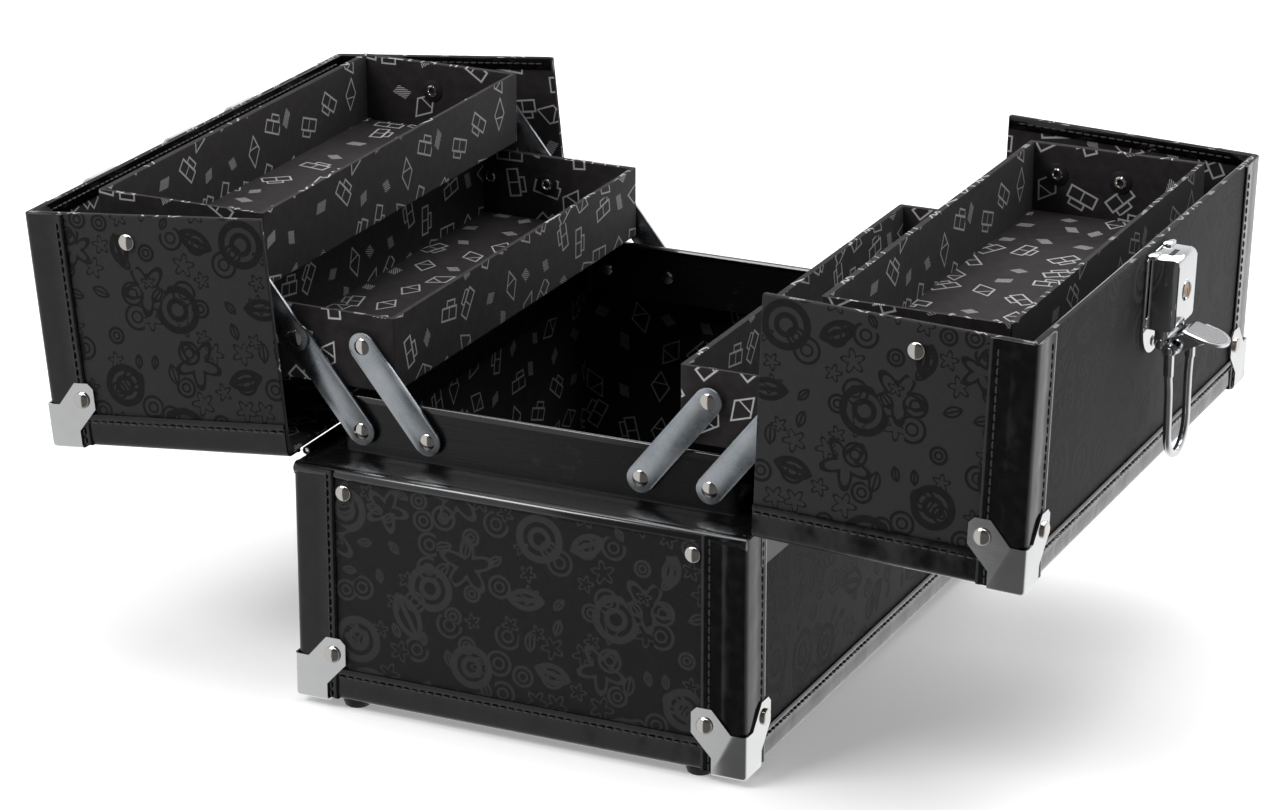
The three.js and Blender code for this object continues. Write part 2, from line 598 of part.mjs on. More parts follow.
buildBase();
for (const [side, sx] of Object.entries(SIDES)) {
  const lid = buildLid(side, sx);
  if (side === "right") buildLatch(lid);
  else buildHandle(lid);
  buildTray(`lower_tray_${side}`, sx, LOWER_TRAY, TRAY_PIVOTS.lower);
  buildTray(`upper_tray_${side}`, sx, UPPER_TRAY, TRAY_PIVOTS.upper);
  buildLinks(side, sx);
}

export default model;
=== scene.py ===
"""Looks for a two-lid makeup train case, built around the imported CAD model.

Sizes are in millimetres, and those of the cloths' figures in centimetres. Each lid is built in
its own flat frame, (a, y, b): "a" runs from the hinge line to the lid's top panel and "b" from
its side panel to the middle of the case.
"""

import json
import math

import bmesh
import bpy
from mathutils import Matrix, Vector


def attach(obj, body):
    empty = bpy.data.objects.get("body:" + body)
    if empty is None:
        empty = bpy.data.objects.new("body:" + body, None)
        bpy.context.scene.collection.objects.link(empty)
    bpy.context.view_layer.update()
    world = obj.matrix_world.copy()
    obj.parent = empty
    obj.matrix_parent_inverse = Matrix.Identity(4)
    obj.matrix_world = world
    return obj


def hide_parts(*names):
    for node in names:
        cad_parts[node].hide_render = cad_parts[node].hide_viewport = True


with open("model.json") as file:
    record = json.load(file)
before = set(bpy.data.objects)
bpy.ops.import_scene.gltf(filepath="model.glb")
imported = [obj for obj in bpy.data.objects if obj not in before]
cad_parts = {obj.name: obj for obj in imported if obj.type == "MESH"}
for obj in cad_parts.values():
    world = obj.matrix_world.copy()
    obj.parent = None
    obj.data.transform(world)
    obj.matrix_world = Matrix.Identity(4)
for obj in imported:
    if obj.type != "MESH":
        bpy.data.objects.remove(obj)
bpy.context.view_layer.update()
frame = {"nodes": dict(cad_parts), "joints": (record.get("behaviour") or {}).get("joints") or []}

MM = 0.001
SIDES = {"right": 1, "left": -1}
ENDS = {"front": -1, "rear": 1}
LEVELS = ("lower", "upper")
PAIRS = ("inner", "outer")
X, Y, Z = Vector((1, 0, 0)), Vector((0, 1, 0)), Vector((0, 0, 1))

# ---- driving dimensions ----
# Walls and floors, softened edges, and how far strips and rims stop short.
BASE = {"wall": 4.5, "floor": 5.0, "soft": 2.0, "drop": 0.6, "foot_strip": 9.0}
LID = {"panel": 3.2, "soft": 0.9, "rim_drop": 0.4, "foot_strip": 12.5, "face": 0.6}
TRAY = {"wall": 3.0, "floor": 2.5, "soft": 1.1}
# The folded binding, its stitching, and one stitch's outline as (along, lift, fatness).
STRIP = {"thick": 0.9, "welt": 0.5, "welt_width": 2.4, "side": 23.0, "low": 17.0, "round": 3.0,
         "edge": 0.5, "sunk": 0.2, "step": 6.0, "stitched_from": 12.0}
STITCH = {"length": 3.6, "pitch": 4.6, "radius": 0.42, "inset": 4.4, "lift": 0.25}
STITCH_SHAPE = [(-0.5, -0.35, 0.6), (-0.3, 0.25, 1.0), (0.0, 0.45, 1.1), (0.3, 0.25, 1.0), (0.5, -0.35, 0.6)]
# The corner caps: an ear on each of two faces, and a foot under the third.
CAP = {"lift": 2.1, "sheet": 1.0, "round": 2.6}
CAP_EAR = [(0, 0), (19, 0), (19, 10), (30, 22), (30, 33), (27, 36), (19, 36), (8.5, 24), (0, 24)]
CAP_FOOT = [(0, 0), (19, 0), (19, 6), (6, 6), (6, 19), (0, 19)]
CAP_RIVET = (22.6, 27.0)
RIVET = {"radius": 4.5, "height": 2.5, "edge": 0.22, "neck": 0.96, "sunk": 0.3}
PANEL_RIVET = {"inset": 28.0, "drop": 11.5}
# The black frame round the mouth, and the beads and channels over the base's rim.
MOUTH = {"half_y": 143.5, "rail": 10.0, "round": 5.0, "ledge": 1.6, "polish": 2.5, "skin": 1.6}
RIM = {"depth": 6.2, "overlap": 0.3, "bead": 3.1, "proud": 1.1, "rise": 0.2, "over_end": 0.4}
# The moving linkage. The CAD's rivet heads stand CAD_HEAD above its straps.
LINK = {"radius": 7.4, "thick": 1.5, "soft": 0.35, "ring": 6.3, "head": 4.9, "dome": 2.6}
CAD_HEAD = 2.0
SPACER = {"radius": 3.6, "length": 2.8}
ARM = {"radius": 6.4, "bend": 7.0, "steps": 12, "boss": 4.0}
EYELET = {"washer": 6.2, "ring": 3.4, "hole": 1.5}
# The tape inside a lid's rim, then the fittings on the lids.
TAPE = {"side": 9.0, "end": 7.0, "gap": 0.3, "row": 4.0, "end_row": 3.4, "inset": 6.0, "lift": 0.6}
LATCH_CASE = {"height": 38.0, "foot": 3.5, "crown": 3.2, "ear": 3.3, "ear_sheet": 1.3, "inset": 0.3}
LEVER = {"half": 11.0, "length": 30.0, "root": 7.5, "rise": 8.0, "sheet": 1.6, "cut": 1.5,
         "roll": 3.1, "pin": 1.1, "pin_reach": 18.6}
BAIL = {"half": 16.5, "length": 60.0, "wire": 2.15, "eye_from": 14.2, "bore": 1.4, "eye": 3.7, "tip": 18.3}
CATCH = {"flange": 2.2, "foot": 8.0, "bend": 7.5, "lip": 5.0, "crown": 4.0}
BRACKET = {"foot": 6.0, "crown": 5.0, "flange": 3.5}
HANDLE = {"radius": 4.2, "flat": 0.85, "inset": 10.0, "pin": 2.3, "pin_length": 12.0}


# ---- the CAD's own places ----
def cad_span(node, local=None):
    """The lowest and highest corners of a CAD node, in the frame that "local" makes."""
    back = (local or Matrix.Identity(4)).inverted()
    points = [back @ (v.co / MM) for v in frame["nodes"][node].data.vertices]
    low = Vector([min(p[i] for p in points) for i in range(3)])
    high = Vector([max(p[i] for p in points) for i in range(3)])
    return low, high


JOINTS = {joint["name"]: joint for joint in frame["joints"]}


def pivot(joint):
    return Vector(JOINTS[joint]["pos_m"]) / MM


def lid_frame(side):
    """The lid's flat frame, tilted by what its hinge turns past a right angle."""
    hinge = f"lid_hinge_{side}"
    tilt = math.radians(max(JOINTS[hinge]["range_deg"]) - 90)
    sx = SIDES[side]
    tilted = Matrix((
        (sx * math.cos(tilt), 0, sx * math.sin(tilt), 0),
        (0, 1, 0, 0),
        (-math.sin(tilt), 0, math.cos(tilt), 0),
        (0, 0, 0, 1),
    ))
    return Matrix.Translation(pivot(hinge)) @ tilted


LID_FRAMES = {side: lid_frame(side) for side in SIDES}
BASE_LOW, BASE_HIGH = cad_span("base_shell")


# ---- mesh helpers ----
def bevel(mesh, edges, width, segments=3):
    bmesh.ops.bevel(mesh, geom=list(edges), offset=width, segments=segments, profile=0.5, affect="EDGES")


def bridge(mesh, rings):
    """Joins each ring of vertices to the next one with quads."""
    faces = []
    for lower, upper in zip(rings, rings[1:]):
        for i in range(len(lower)):
            j = (i + 1) % len(lower)
            faces.append(mesh.faces.new((lower[i], lower[j], upper[j], upper[i])))
    return faces


def close_ends(mesh, rings):
    mesh.faces.new(list(reversed(rings[0])))
    mesh.faces.new(rings[-1])


def block(low, high, soft, segments=3):
    """A box with rounded edges."""
    mesh = bmesh.new()
    low, high = Vector(low), Vector(high)
    fit = Matrix.Translation((low + high) / 2) @ Matrix.Diagonal((*(high - low), 1))
    bmesh.ops.create_cube(mesh, size=1, matrix=fit)
    bevel(mesh, mesh.edges, soft, segments)
    return mesh


def mesh_data(name, mesh):
    data = bpy.data.meshes.new(name)
    mesh.to_mesh(data)
    mesh.free()
    return data


def joined(meshes):
    whole = bmesh.new()
    for mesh in meshes:
        data = mesh_data("part", mesh)
        whole.from_mesh(data)
        bpy.data.meshes.remove(data)
    return whole


def plane_frame(origin, across, up):
    """A frame whose local x is across, y is up and z is their normal."""
    across, up = Vector(across).normalized(), Vector(up).normalized()
    normal = across.cross(up)
    facing = Matrix((across, up, normal)).transposed().to_4x4()
    return Matrix.Translation(Vector(origin)) @ facing


def prism(outline, plane, low, high, soft, segments=2):
    """A flat outline given thickness along the normal of its plane, with softened rims."""
    mesh = bmesh.new()
    rings = [[mesh.verts.new(plane @ Vector((u, v, w))) for u, v in outline] for w in (low, high)]
    close_ends(mesh, rings)
    bridge(mesh, rings)
    lower = rings[0]
    rims = [e for e in mesh.edges if (e.verts[0] in lower) == (e.verts[1] in lower)]
    bevel(mesh, rims, soft, segments)
    return mesh


def slab(outline, y0, y1, soft, segments=2):
    """An outline of (x, z) points carried along Y between two places."""
    low, high = sorted((y0, y1))
    return prism(outline, plane_frame((0, high, 0), X, Z), 0, high - low, soft, segments)


def arc(centre, radius, start, stop, steps):
    """Points round part of a circle, between two angles in degrees."""
    angles = [math.radians(start + (stop - start) * i / steps) for i in range(steps + 1)]
    return [(centre[0] + radius * math.cos(t), centre[1] + radius * math.sin(t)) for t in angles]


def stadium(start, stop, radius, steps=14):
    """The outline of a strap with round ends."""
    start, stop = Vector(start), Vector(stop)
    lean = math.degrees(math.atan2(stop.y - start.y, stop.x - start.x))
    return arc(stop, radius, lean - 90, lean + 90, steps) + arc(start, radius, lean + 90, lean + 270, steps)


def ring(radius, steps=12, flat=1.0):
    """Points round a circle, or an oval of the given flatness."""
    angles = [2 * math.pi * i / steps for i in range(steps)]
    return [(radius * math.cos(t), flat * radius * math.sin(t)) for t in angles]


def turned(profile, origin, axis, steps=24):
    """A profile of (radius, height) points turned round an axis."""
    mesh = bmesh.new()
    spin = Vector(axis).normalized().to_track_quat("Z", "Y").to_matrix().to_4x4()
    stand = Matrix.Translation(Vector(origin)) @ spin
    rings = []
    for radius, height in profile:
        around = ring(radius, steps) if radius else [(0, 0)]
        rings.append([mesh.verts.new(stand @ Vector((u, v, height))) for u, v in around])
    for lower, upper in zip(rings, rings[1:]):
        for i in range(steps):
            j = (i + 1) % steps
            corners = [lower[i % len(lower)], lower[j % len(lower)]]
            corners += [upper[j % len(upper)], upper[i % len(upper)]]
            unique = list(dict.fromkeys(corners))
            if len(unique) > 2:
                mesh.faces.new(unique)
    return mesh


def rod(radius, length, origin, axis, steps=24):
    return turned([(0, 0), (radius, 0), (radius, length), (0, length)], origin, axis, steps)


def swept(path, section):
    """A section of (across, up) points carried along a path of points without twisting."""
    mesh = bmesh.new()
    rings = []
    side = None
    for i, point in enumerate(path):
        along = (path[min(i + 1, len(path) - 1)] - path[max(i - 1, 0)]).normalized()
        if side is None:
            side = along.orthogonal().normalized()
        side = (side - along * side.dot(along)).normalized()
        up = along.cross(side)
        rings.append([mesh.verts.new(point + side * u + up * v) for u, v in section])
    bridge(mesh, rings)
    close_ends(mesh, rings)
    return mesh


def smooth_path(knots, per_span):
    """Points along a Catmull-Rom curve through the given ones."""
    knots = [2 * knots[0] - knots[1]] + knots + [2 * knots[-1] - knots[-2]]
    path = []
    for p0, p1, p2, p3 in zip(knots, knots[1:], knots[2:], knots[3:]):
        for i in range(per_span):
            t = i / per_span
            path.append(0.5 * (2 * p1 + (p2 - p0) * t + (2 * p0 - 5 * p1 + 4 * p2 - p3) * t * t
                               + (3 * p1 - p0 - 3 * p2 + p3) * t ** 3))
    path.append(knots[-2])
    return path


# Each of the map's three directions is set apart by this many centimetres.
FLAT_SHIFT = 7.3


def lay_flat_uv(mesh):
    """Gives each face a flat map in centimetres, seen along its own normal."""
    layer = mesh.loops.layers.uv.new("flat")
    for face in mesh.faces:
        normal = face.normal
        axis = max(range(3), key=lambda i: abs(normal[i]))
        u, v = [(1, 2), (0, 2), (0, 1)][axis]
        shift = FLAT_SHIFT * axis
        for loop in face.loops:
            loop[layer].uv = (loop.vert.co[u] / 10 + shift, loop.vert.co[v] / 10 + shift)


def added(name, data):
    """Puts a new object in the scene."""
    thing = bpy.data.objects.new(name, data)
    bpy.context.scene.collection.objects.link(thing)
    return thing


SHARP_ANGLE = math.radians(38)


def place(name, mesh, body, materials, replaces=(), local=None):
    """Turns a mesh into a piece that rides on a body."""
    bmesh.ops.recalc_face_normals(mesh, faces=mesh.faces)
    lay_flat_uv(mesh)
    if local is not None:
        bmesh.ops.transform(mesh, matrix=local, verts=mesh.verts)
    bmesh.ops.scale(mesh, vec=(MM, MM, MM), verts=mesh.verts)
    bmesh.ops.recalc_face_normals(mesh, faces=mesh.faces)
    for face in mesh.faces:
        face.smooth = True
    for edge in mesh.edges:
        edge.smooth = len(edge.link_faces) == 2 and edge.calc_face_angle(0) < SHARP_ANGLE
    piece = added(name, mesh_data(name, mesh))
    for material in materials if isinstance(materials, list) else [materials]:
        piece.data.materials.append(material)
    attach(piece, body)
    if replaces:
        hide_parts(*replaces)


# ---- material helpers ----
class Nodes:
    """The node tree of a material or a world, with short calls for the nodes used here."""

    def __init__(self, owner):
        owner.use_nodes = True
        self.tree = owner.node_tree
        self.tree.nodes.clear()

    def feed(self, socket, value):
        if isinstance(value, (int, float, tuple)):
            socket.default_value = value
        else:
            self.tree.links.new(value, socket)

    def node(self, kind, sockets=None, **settings):
        """A new node's outputs, once it is set up and its sockets are fed."""
        node = self.tree.nodes.new(kind)
        for name, value in settings.items():
            setattr(node, name, value)
        for name, value in (sockets or {}).items():
            self.feed(node.inputs[name], value)
        return node.outputs

    def math(self, operation, *values):
        return self.node("ShaderNodeMath", dict(enumerate(values)), operation=operation)[0]

    def plus(self, first, second):
        return self.math("ADD", first, second)

    def minus(self, first, second):
        return self.math("SUBTRACT", first, second)

    def times(self, first, second):
        return self.math("MULTIPLY", first, second)

    def size(self, value):
        return self.math("ABSOLUTE", value)

    def wave(self, value, pitch):
        return self.math("SINE", self.times(value, 2 * math.pi / pitch))

    def most(self, *values):
        whole = values[0]
        for value in values[1:]:
            whole = self.math("MAXIMUM", whole, value)
        return whole

    def vector(self, operation, *values):
        return self.node("ShaderNodeVectorMath", dict(enumerate(values)), operation=operation)["Vector"]

    def flat(self):
        return self.node("ShaderNodeUVMap", uv_map="flat")[0]

    def spot(self, kind="Object"):
        """The shaded point, in metres by default."""
        return self.node("ShaderNodeTexCoord")[kind]

    def split(self, vector):
        return self.node("ShaderNodeSeparateXYZ", {0: vector})

    def noise(self, vector, scale, detail=3.0, rough=0.5):
        sockets = {"Vector": vector, "Scale": scale, "Detail": detail, "Roughness": rough}
        return self.node("ShaderNodeTexNoise", sockets)["Fac"]

    def spread(self, value, low, high, to_low=0.0, to_high=1.0, kind="LINEAR"):
        sockets = {"Value": value, "From Min": low, "From Max": high, "To Min": to_low, "To Max": to_high}
        return self.node("ShaderNodeMapRange", sockets, interpolation_type=kind)["Result"]

    def tint(self, factor, low, high):
        """A mix of two colours, each given as three numbers or by another node."""
        low, high = ((*color, 1) if isinstance(color, tuple) else color for color in (low, high))
        return self.node("ShaderNodeMix", {"Factor": factor, "A": low, "B": high}, data_type="RGBA")["Result"]

    def bump(self, height, distance, strength, under=None):
        sockets = {"Height": height, "Distance": distance, "Strength": strength}
        if under is not None:
            sockets["Normal"] = under
        return self.node("ShaderNodeBump", sockets)["Normal"]

    def cells(self, vector, size, loose):
        """Scattered cells, each with a middle, a turn and chances of its own."""
        sockets = {"Vector": vector, "Scale": 1 / size, "Randomness": loose}
        cell = self.node("ShaderNodeTexVoronoi", sockets, voronoi_dimensions="2D")
        chance = self.split(cell["Color"])
        away = self.vector("SUBTRACT", vector, cell["Position"])
        sockets = {"Vector": away, "Angle": self.times(chance[0], 2 * math.pi)}
        x, y = self.split(self.node("ShaderNodeVectorRotate", sockets, rotation_type="Z_AXIS")[0])[:2]
        return x, y, chance

    def length(self, x, y):
        return self.math("SQRT", self.plus(self.times(x, x), self.times(y, y)))

    def line(self, distance, width, fade):
        """1 on the line where the distance is nought, fading out at its width."""
        return self.spread(self.size(distance), width / 2, width / 2 + fade, 1.0, 0.0)

    def inside(self, distance):
        return self.math("LESS_THAN", distance, 0)

    def oblong(self, x, y, half_width, half_height):
        """Distance to the edge of a rectangle, below nought inside it."""
        return self.most(self.minus(self.size(x), half_width), self.minus(self.size(y), half_height))

    def chosen(self, figure, chance, low, high):
        """The figure, in cells whose chance lies between low and high."""
        picked = self.times(self.math("GREATER_THAN", chance, low), self.math("LESS_THAN", chance, high))
        return self.times(figure, picked)


class Surface(Nodes):
    """A material with a Principled shader, whose even sockets are given by name."""

    def __init__(self, name, **settings):
        self.material = bpy.data.materials.new(name)
        super().__init__(self.material)
        sockets = {socket.replace("_", " "): value for socket, value in settings.items()}
        shader = self.node("ShaderNodeBsdfPrincipled", sockets)[0]
        self.node("ShaderNodeOutputMaterial", {"Surface": shader})
        self.inputs = shader.node.inputs

    def paint(self, color, rough, normal=None):
        for socket, value in (("Base Color", color), ("Roughness", rough), ("Normal", normal)):
            if value is not None:
                self.feed(self.inputs[socket], value)
        return self.material


# ---- materials ----
# The weave's large and small figures: cell size, stroke and fade, in centimetres.
WEAVE_CELLS = ((3.6, 0.34, 0.05), (1.5, 0.13, 0.03))
THREAD_PITCH = 0.07
BLUER = 1.06


def woven_figures(n, flat, size, stroke, fade):
    """Double rings, five-petalled rosettes and veined leaves, one to a cell."""
    x, y, chance = n.cells(flat, size, 0.75)
    reach = n.length(x, y)
    wide = n.times(n.spread(chance[1], 0, 1, 0.26, 0.44), size)
    outer = n.line(n.minus(reach, wide), stroke, fade)
    inner = n.line(n.minus(reach, n.times(wide, 0.45)), stroke * 0.7, fade)
    angle = n.math("ARCTAN2", y, x)
    petals = n.plus(0.72, n.times(0.28, n.math("COSINE", n.times(angle, 5))))
    rosette = n.line(n.minus(reach, n.times(wide, petals)), stroke * 0.8, fade)
    lobes = [n.minus(n.length(n.plus(x, n.times(wide, 0.6 * sign)), y), wide) for sign in (-1, 1)]
    leaf = n.most(*lobes)
    vein = n.times(n.line(x, stroke * 0.6, fade), n.inside(leaf))
    veined = n.most(n.line(leaf, stroke * 0.7, fade), vein)
    kinds = ((n.most(outer, inner), -1, 0.34), (rosette, 0.34, 0.67), (veined, 0.67, 2))
    return n.most(*[n.chosen(kind, chance[2], low, high) for kind, low, high in kinds])


def figured_weave(name, ground, figured):
    """Cloth with rings, leaves and rosettes woven across the ground's threads; the two tones given paint how
    the light catches ground and figures, as painted sheen and shade.
    """
    n = Surface(name, Sheen_Weight=0.06, Sheen_Roughness=0.45, Specular_IOR_Level=0.16)
    flat = n.flat()
    figure = n.most(*[woven_figures(n, flat, *cell) for cell in WEAVE_CELLS])
    u, v = n.split(flat)[:2]
    twill = n.times(n.wave(n.plus(u, v), THREAD_PITCH), n.minus(1, figure))
    weft = n.times(n.wave(n.minus(u, v), THREAD_PITCH), figure)
    thread = n.plus(twill, weft)
    wobble = n.minus(n.noise(flat, 3.0, 2.0), 0.5)
    uneven = n.plus(n.times(thread, 0.1), n.times(wobble, 0.35))
    shade = n.spread(n.plus(figure, uneven), -0.2, 1.2)
    tones = [(tone, tone, tone * BLUER) for tone in (ground, figured)]
    relief = n.bump(thread, 0.00006, 0.5, n.bump(figure, 0.00012, 0.8))
    return n.paint(n.tint(shade, *tones), n.spread(figure, 0, 1, 0.62, 0.8), relief)


def printed_lining():
    """Charcoal ribbed cloth printed with outlined oblongs, cut gems and hatched patches."""
    n = Surface("printed lining", Sheen_Weight=0.08, Sheen_Roughness=0.4, Specular_IOR_Level=0.15)
    flat = n.flat()
    x, y, chance = n.cells(flat, 2.3, 0.5)
    stroke, thin, fade = 0.07, 0.04, 0.03
    tall = n.oblong(x, y, 0.33, 0.78)
    beside = n.oblong(n.minus(x, 0.52), n.plus(y, 0.14), 0.17, 0.42)
    bar = n.times(n.line(y, thin, fade), n.inside(tall))
    boxes = n.most(n.line(tall, stroke, fade), n.line(beside, 0.06, fade), bar)
    gem = n.minus(n.plus(n.size(x), n.times(n.size(y), 0.62)), 0.56)
    cut = n.times(n.line(n.minus(y, 0.2), thin, fade), n.inside(gem))
    lean = n.plus(x, n.times(y, 0.3))
    patch = n.inside(n.oblong(lean, y, 0.3, n.spread(chance[1], 0, 1, 0.3, 0.46)))
    hatched = n.times(patch, n.spread(n.wave(n.plus(x, y), 0.15), -0.2, 0.4))
    kinds = ((boxes, -1, 0.34), (n.most(n.line(gem, stroke, fade), cut), 0.34, 0.6), (hatched, 0.6, 0.97))
    figures = n.most(*[n.chosen(kind, chance[2], low, high) for kind, low, high in kinds])
    broken = n.spread(n.noise(flat, 40.0, 2.0), 0.32, 0.6)
    ink = n.times(figures, n.spread(broken, 0, 1, 0.45, 1.0))
    rib = n.wave(n.split(flat)[0], 0.06)
    cloth = n.spread(n.plus(n.times(rib, 0.2), n.noise(flat, 1.6)), 0, 1)
    color = n.tint(ink, n.tint(cloth, (0.007, 0.006, 0.006), (0.03, 0.026, 0.0265)), (0.5, 0.5, 0.5))
    return n.paint(color, 0.72, n.bump(ink, 0.00005, 0.5, n.bump(rib, 0.00007, 0.6)))


def patent_leather():
    """Glossy black vinyl, rippled where it was pulled over the board."""
    n = Surface("patent vinyl", Coat_Weight=0.55, Coat_Roughness=0.04, Specular_IOR_Level=0.25)
    spot = n.spot()
    ripples = n.bump(n.noise(spot, 28.0), 0.0022, 0.65)
    grain = n.bump(n.noise(spot, 420.0, 2.0), 0.00004, 0.5, ripples)
    dust = n.spread(n.noise(spot, 160.0, 4.0), 0.45, 0.8)
    color = n.tint(dust, (0.0016, 0.0016, 0.0018), (0.006, 0.006, 0.0065))
    return n.paint(color, n.spread(dust, 0, 1, 0.12, 0.26), grain)


def waxed_thread():
    n = Surface("black thread", Sheen_Weight=0.3)
    ply = n.noise(n.spot(), 2600.0, 2.0)
    color = n.tint(ply, (0.003, 0.003, 0.003), (0.022, 0.022, 0.024))
    return n.paint(color, 0.55, n.bump(ply, 0.00015, 0.8))


def metal(name, low, high, rough, mottle=18.0, scratch=0.3, brushed=(40.0, 300.0, 900.0)):
    """Plated metal of a cloudy tone, with fine scratches drawn out by "brushed"."""
    n = Surface(name, Metallic=1.0)
    spot = n.spot()
    cloud = n.noise(spot, mottle, 4.0, 0.6)
    lines = n.noise(n.vector("MULTIPLY", spot, brushed), 3.0, 3.0, 0.7)
    color = n.tint(n.spread(cloud, 0.3, 0.7), low, high)
    mixed = n.plus(n.times(cloud, 0.6), n.times(lines, 0.4))
    return n.paint(color, n.spread(mixed, 0.3, 0.7, *rough), n.bump(lines, 0.00002, scratch))


def black_anodised(name, coat):
    """Drawn black metal, worn pale in places, with or without a polish on top."""
    n = Surface(name, Metallic=0.35, Specular_IOR_Level=0.6, Coat_Weight=coat, Coat_Roughness=0.06)
    spot = n.spot()
    draw = n.noise(n.vector("MULTIPLY", spot, (12.0, 12.0, 700.0)), 3.0, 3.0, 0.6)
    wear = n.spread(n.noise(spot, 60.0, 5.0, 0.7), 0.62, 0.8)
    color = n.tint(wear, (0.0055, 0.0055, 0.006), (0.04, 0.04, 0.042))
    return n.paint(color, n.spread(draw, 0.3, 0.7, 0.2, 0.34), n.bump(draw, 0.00002, 0.3))


def pebbled(name, grain, cloud, tones, rough, relief, **settings):
    """Black rubber or plastic with a fine grain."""
    n = Surface(name, **settings)
    spot = n.spot()
    grit = n.noise(spot, *grain)
    color = n.tint(n.noise(spot, cloud), *tones)
    return n.paint(color, n.spread(grit, 0.3, 0.7, *rough), n.bump(grit, relief, 0.5))


# The same cloth twice, as lit and shaded copies: the first has its figures painted darker than the ground,
# the second lighter, a painted sheen for faces where the light catches the threads.
WEAVE = figured_weave("figured weave", 0.024, 0.003)
SHEEN_PAINTED_WEAVE = figured_weave("figured weave, painted sheen", 0.0065, 0.03)
LINING = printed_lining()
PATENT = patent_leather()
THREAD = waxed_thread()
ANODISED = black_anodised("black anodised", 0.0)
POLISHED = black_anodised("polished black beads", 1.0)
RUBBER = pebbled("black rubber", (700.0, 3.0), 30.0, ((0.004, 0.004, 0.004), (0.013, 0.013, 0.013)),
                 (0.55, 0.75), 0.0001, Specular_IOR_Level=0.3)
GRIP = pebbled("moulded grip", (900.0, 2.0), 25.0, ((0.003, 0.003, 0.0035), (0.01, 0.01, 0.011)),
               (0.25, 0.4), 0.00008, Coat_Weight=0.5, Coat_Roughness=0.15)
CHROME = metal("chrome", (0.7, 0.71, 0.73), (0.8, 0.8, 0.81), (0.03, 0.08), scratch=0.12)
NICKEL = metal("polished nickel", (0.7, 0.67, 0.63), (0.8, 0.77, 0.73), (0.07, 0.16), scratch=0.2)
SATIN = metal("plated caps", (0.7, 0.705, 0.71), (0.8, 0.805, 0.81), (0.07, 0.16), scratch=0.25)
DARK_STEEL = metal("blued steel", (0.05, 0.05, 0.055), (0.12, 0.12, 0.125), (0.3, 0.45))
BRUSHED = metal("brushed steel", (0.07, 0.07, 0.075), (0.13, 0.13, 0.135), (0.16, 0.3), scratch=0.6)
ZINC = metal("zinc plate", (0.4, 0.44, 0.48), (0.62, 0.65, 0.68), (0.2, 0.42), mottle=70.0, scratch=0.5,
             brushed=(260.0, 260.0, 260.0))
BRASS = metal("worn brass", (0.3, 0.17, 0.07), (0.55, 0.33, 0.14), (0.25, 0.45), mottle=260.0)


# ---- details shared by the base and the lids ----
def rivet(at, normal, radius=RIVET["radius"], height=RIVET["height"]):
    """A domed head on a flat face."""
    edge, neck, sunk = RIVET["edge"], RIVET["neck"], RIVET["sunk"]
    turns = [math.radians(t) for t in range(0, 90, 12)]
    dome = [(radius * math.cos(t), height * (edge + (1 - edge) * math.sin(t))) for t in turns]
    return turned([(0, -sunk), (radius * neck, -sunk), *dome, (0, height)], at, normal)


def eyelet(at, normal):
    """A dark washer under a rolled nickel ring, as two meshes."""
    washer, rim, hole = EYELET["washer"], EYELET["ring"], EYELET["hole"]
    disc = turned([(0, 0), (washer, 0), (washer, 0.4), (washer - 0.5, 0.7), (0, 0.7)], at, normal)
    roll = turned([(hole, 0.3), (hole, 1.0), (hole + 0.5, 1.7), (rim - 0.6, 1.7), (rim, 1.1), (rim, 0.3),
                   (hole, 0.3)], at, normal)
    return disc, roll


def ripple(where):
    """A few tenths of a millimetre of unevenness along a pulled edge."""
    return 0.16 * math.sin(where * 0.21) + 0.1 * math.sin(where * 0.53 + 1.3)


def strip_flank(width, swell):
    """One leaf of a folded strip, from its welted rim to its middle, as (across, out) points."""
    thick, welt, edge = STRIP["thick"], STRIP["welt"], STRIP["edge"]
    lip = width - STRIP["welt_width"]
    rim = [(width, -STRIP["sunk"]), (width, thick + welt * 0.4), (width - edge, thick + welt)]
    return rim + [(lip, thick + welt), (lip - 0.8, thick + swell * 0.5), (width * 0.5, thick + swell)]


def corner_strip(start, stop, toward_a, toward_b, width_a, width_b):
    """A folded strip over an edge, with turned welts, from start to stop along that edge.

    toward_a and toward_b point from the edge over its two faces.
    """
    radius, sunk = STRIP["round"], STRIP["sunk"]
    bend = radius + STRIP["thick"]
    steps = max(2, int((stop - start).length / STRIP["step"]))
    fold = arc((radius, radius), bend, 270, 180, 4)
    mesh = bmesh.new()
    rings = []
    for i in range(steps + 1):
        at = start.lerp(stop, i / steps)
        swell = ripple((at - start).length + start.length)
        section = [toward_a * u - toward_b * v for u, v in strip_flank(width_a, swell)]
        section += [toward_a * u + toward_b * v for u, v in fold]
        section += [toward_b * u - toward_a * v for u, v in reversed(strip_flank(width_b, -swell))]
        section.append(toward_a * sunk + toward_b * sunk)
        rings.append([mesh.verts.new(at + offset) for offset in section])
    bridge(mesh, rings)
    close_ends(mesh, rings)
    return mesh


def stitches(start, stop, normal):
    """A row of short threads, each sunk at both ends, along a straight line on a face."""
    start, stop, normal = Vector(start), Vector(stop), Vector(normal)
    along = (stop - start).normalized()
    across = along.cross(normal)
    length, pitch, radius = STITCH["length"], STITCH["pitch"], STITCH["radius"]
    mesh = bmesh.new()
    for i in range(int((stop - start).length / pitch)):
        middle = start + along * (i + 0.5) * pitch
        rings = []
        for t, lift, fat in STITCH_SHAPE:
            at = middle + along * t * length + normal * lift * radius
            rings.append([mesh.verts.new(at + across * u + normal * v) for u, v in ring(radius * fat, 6)])
        bridge(mesh, rings)
    return mesh


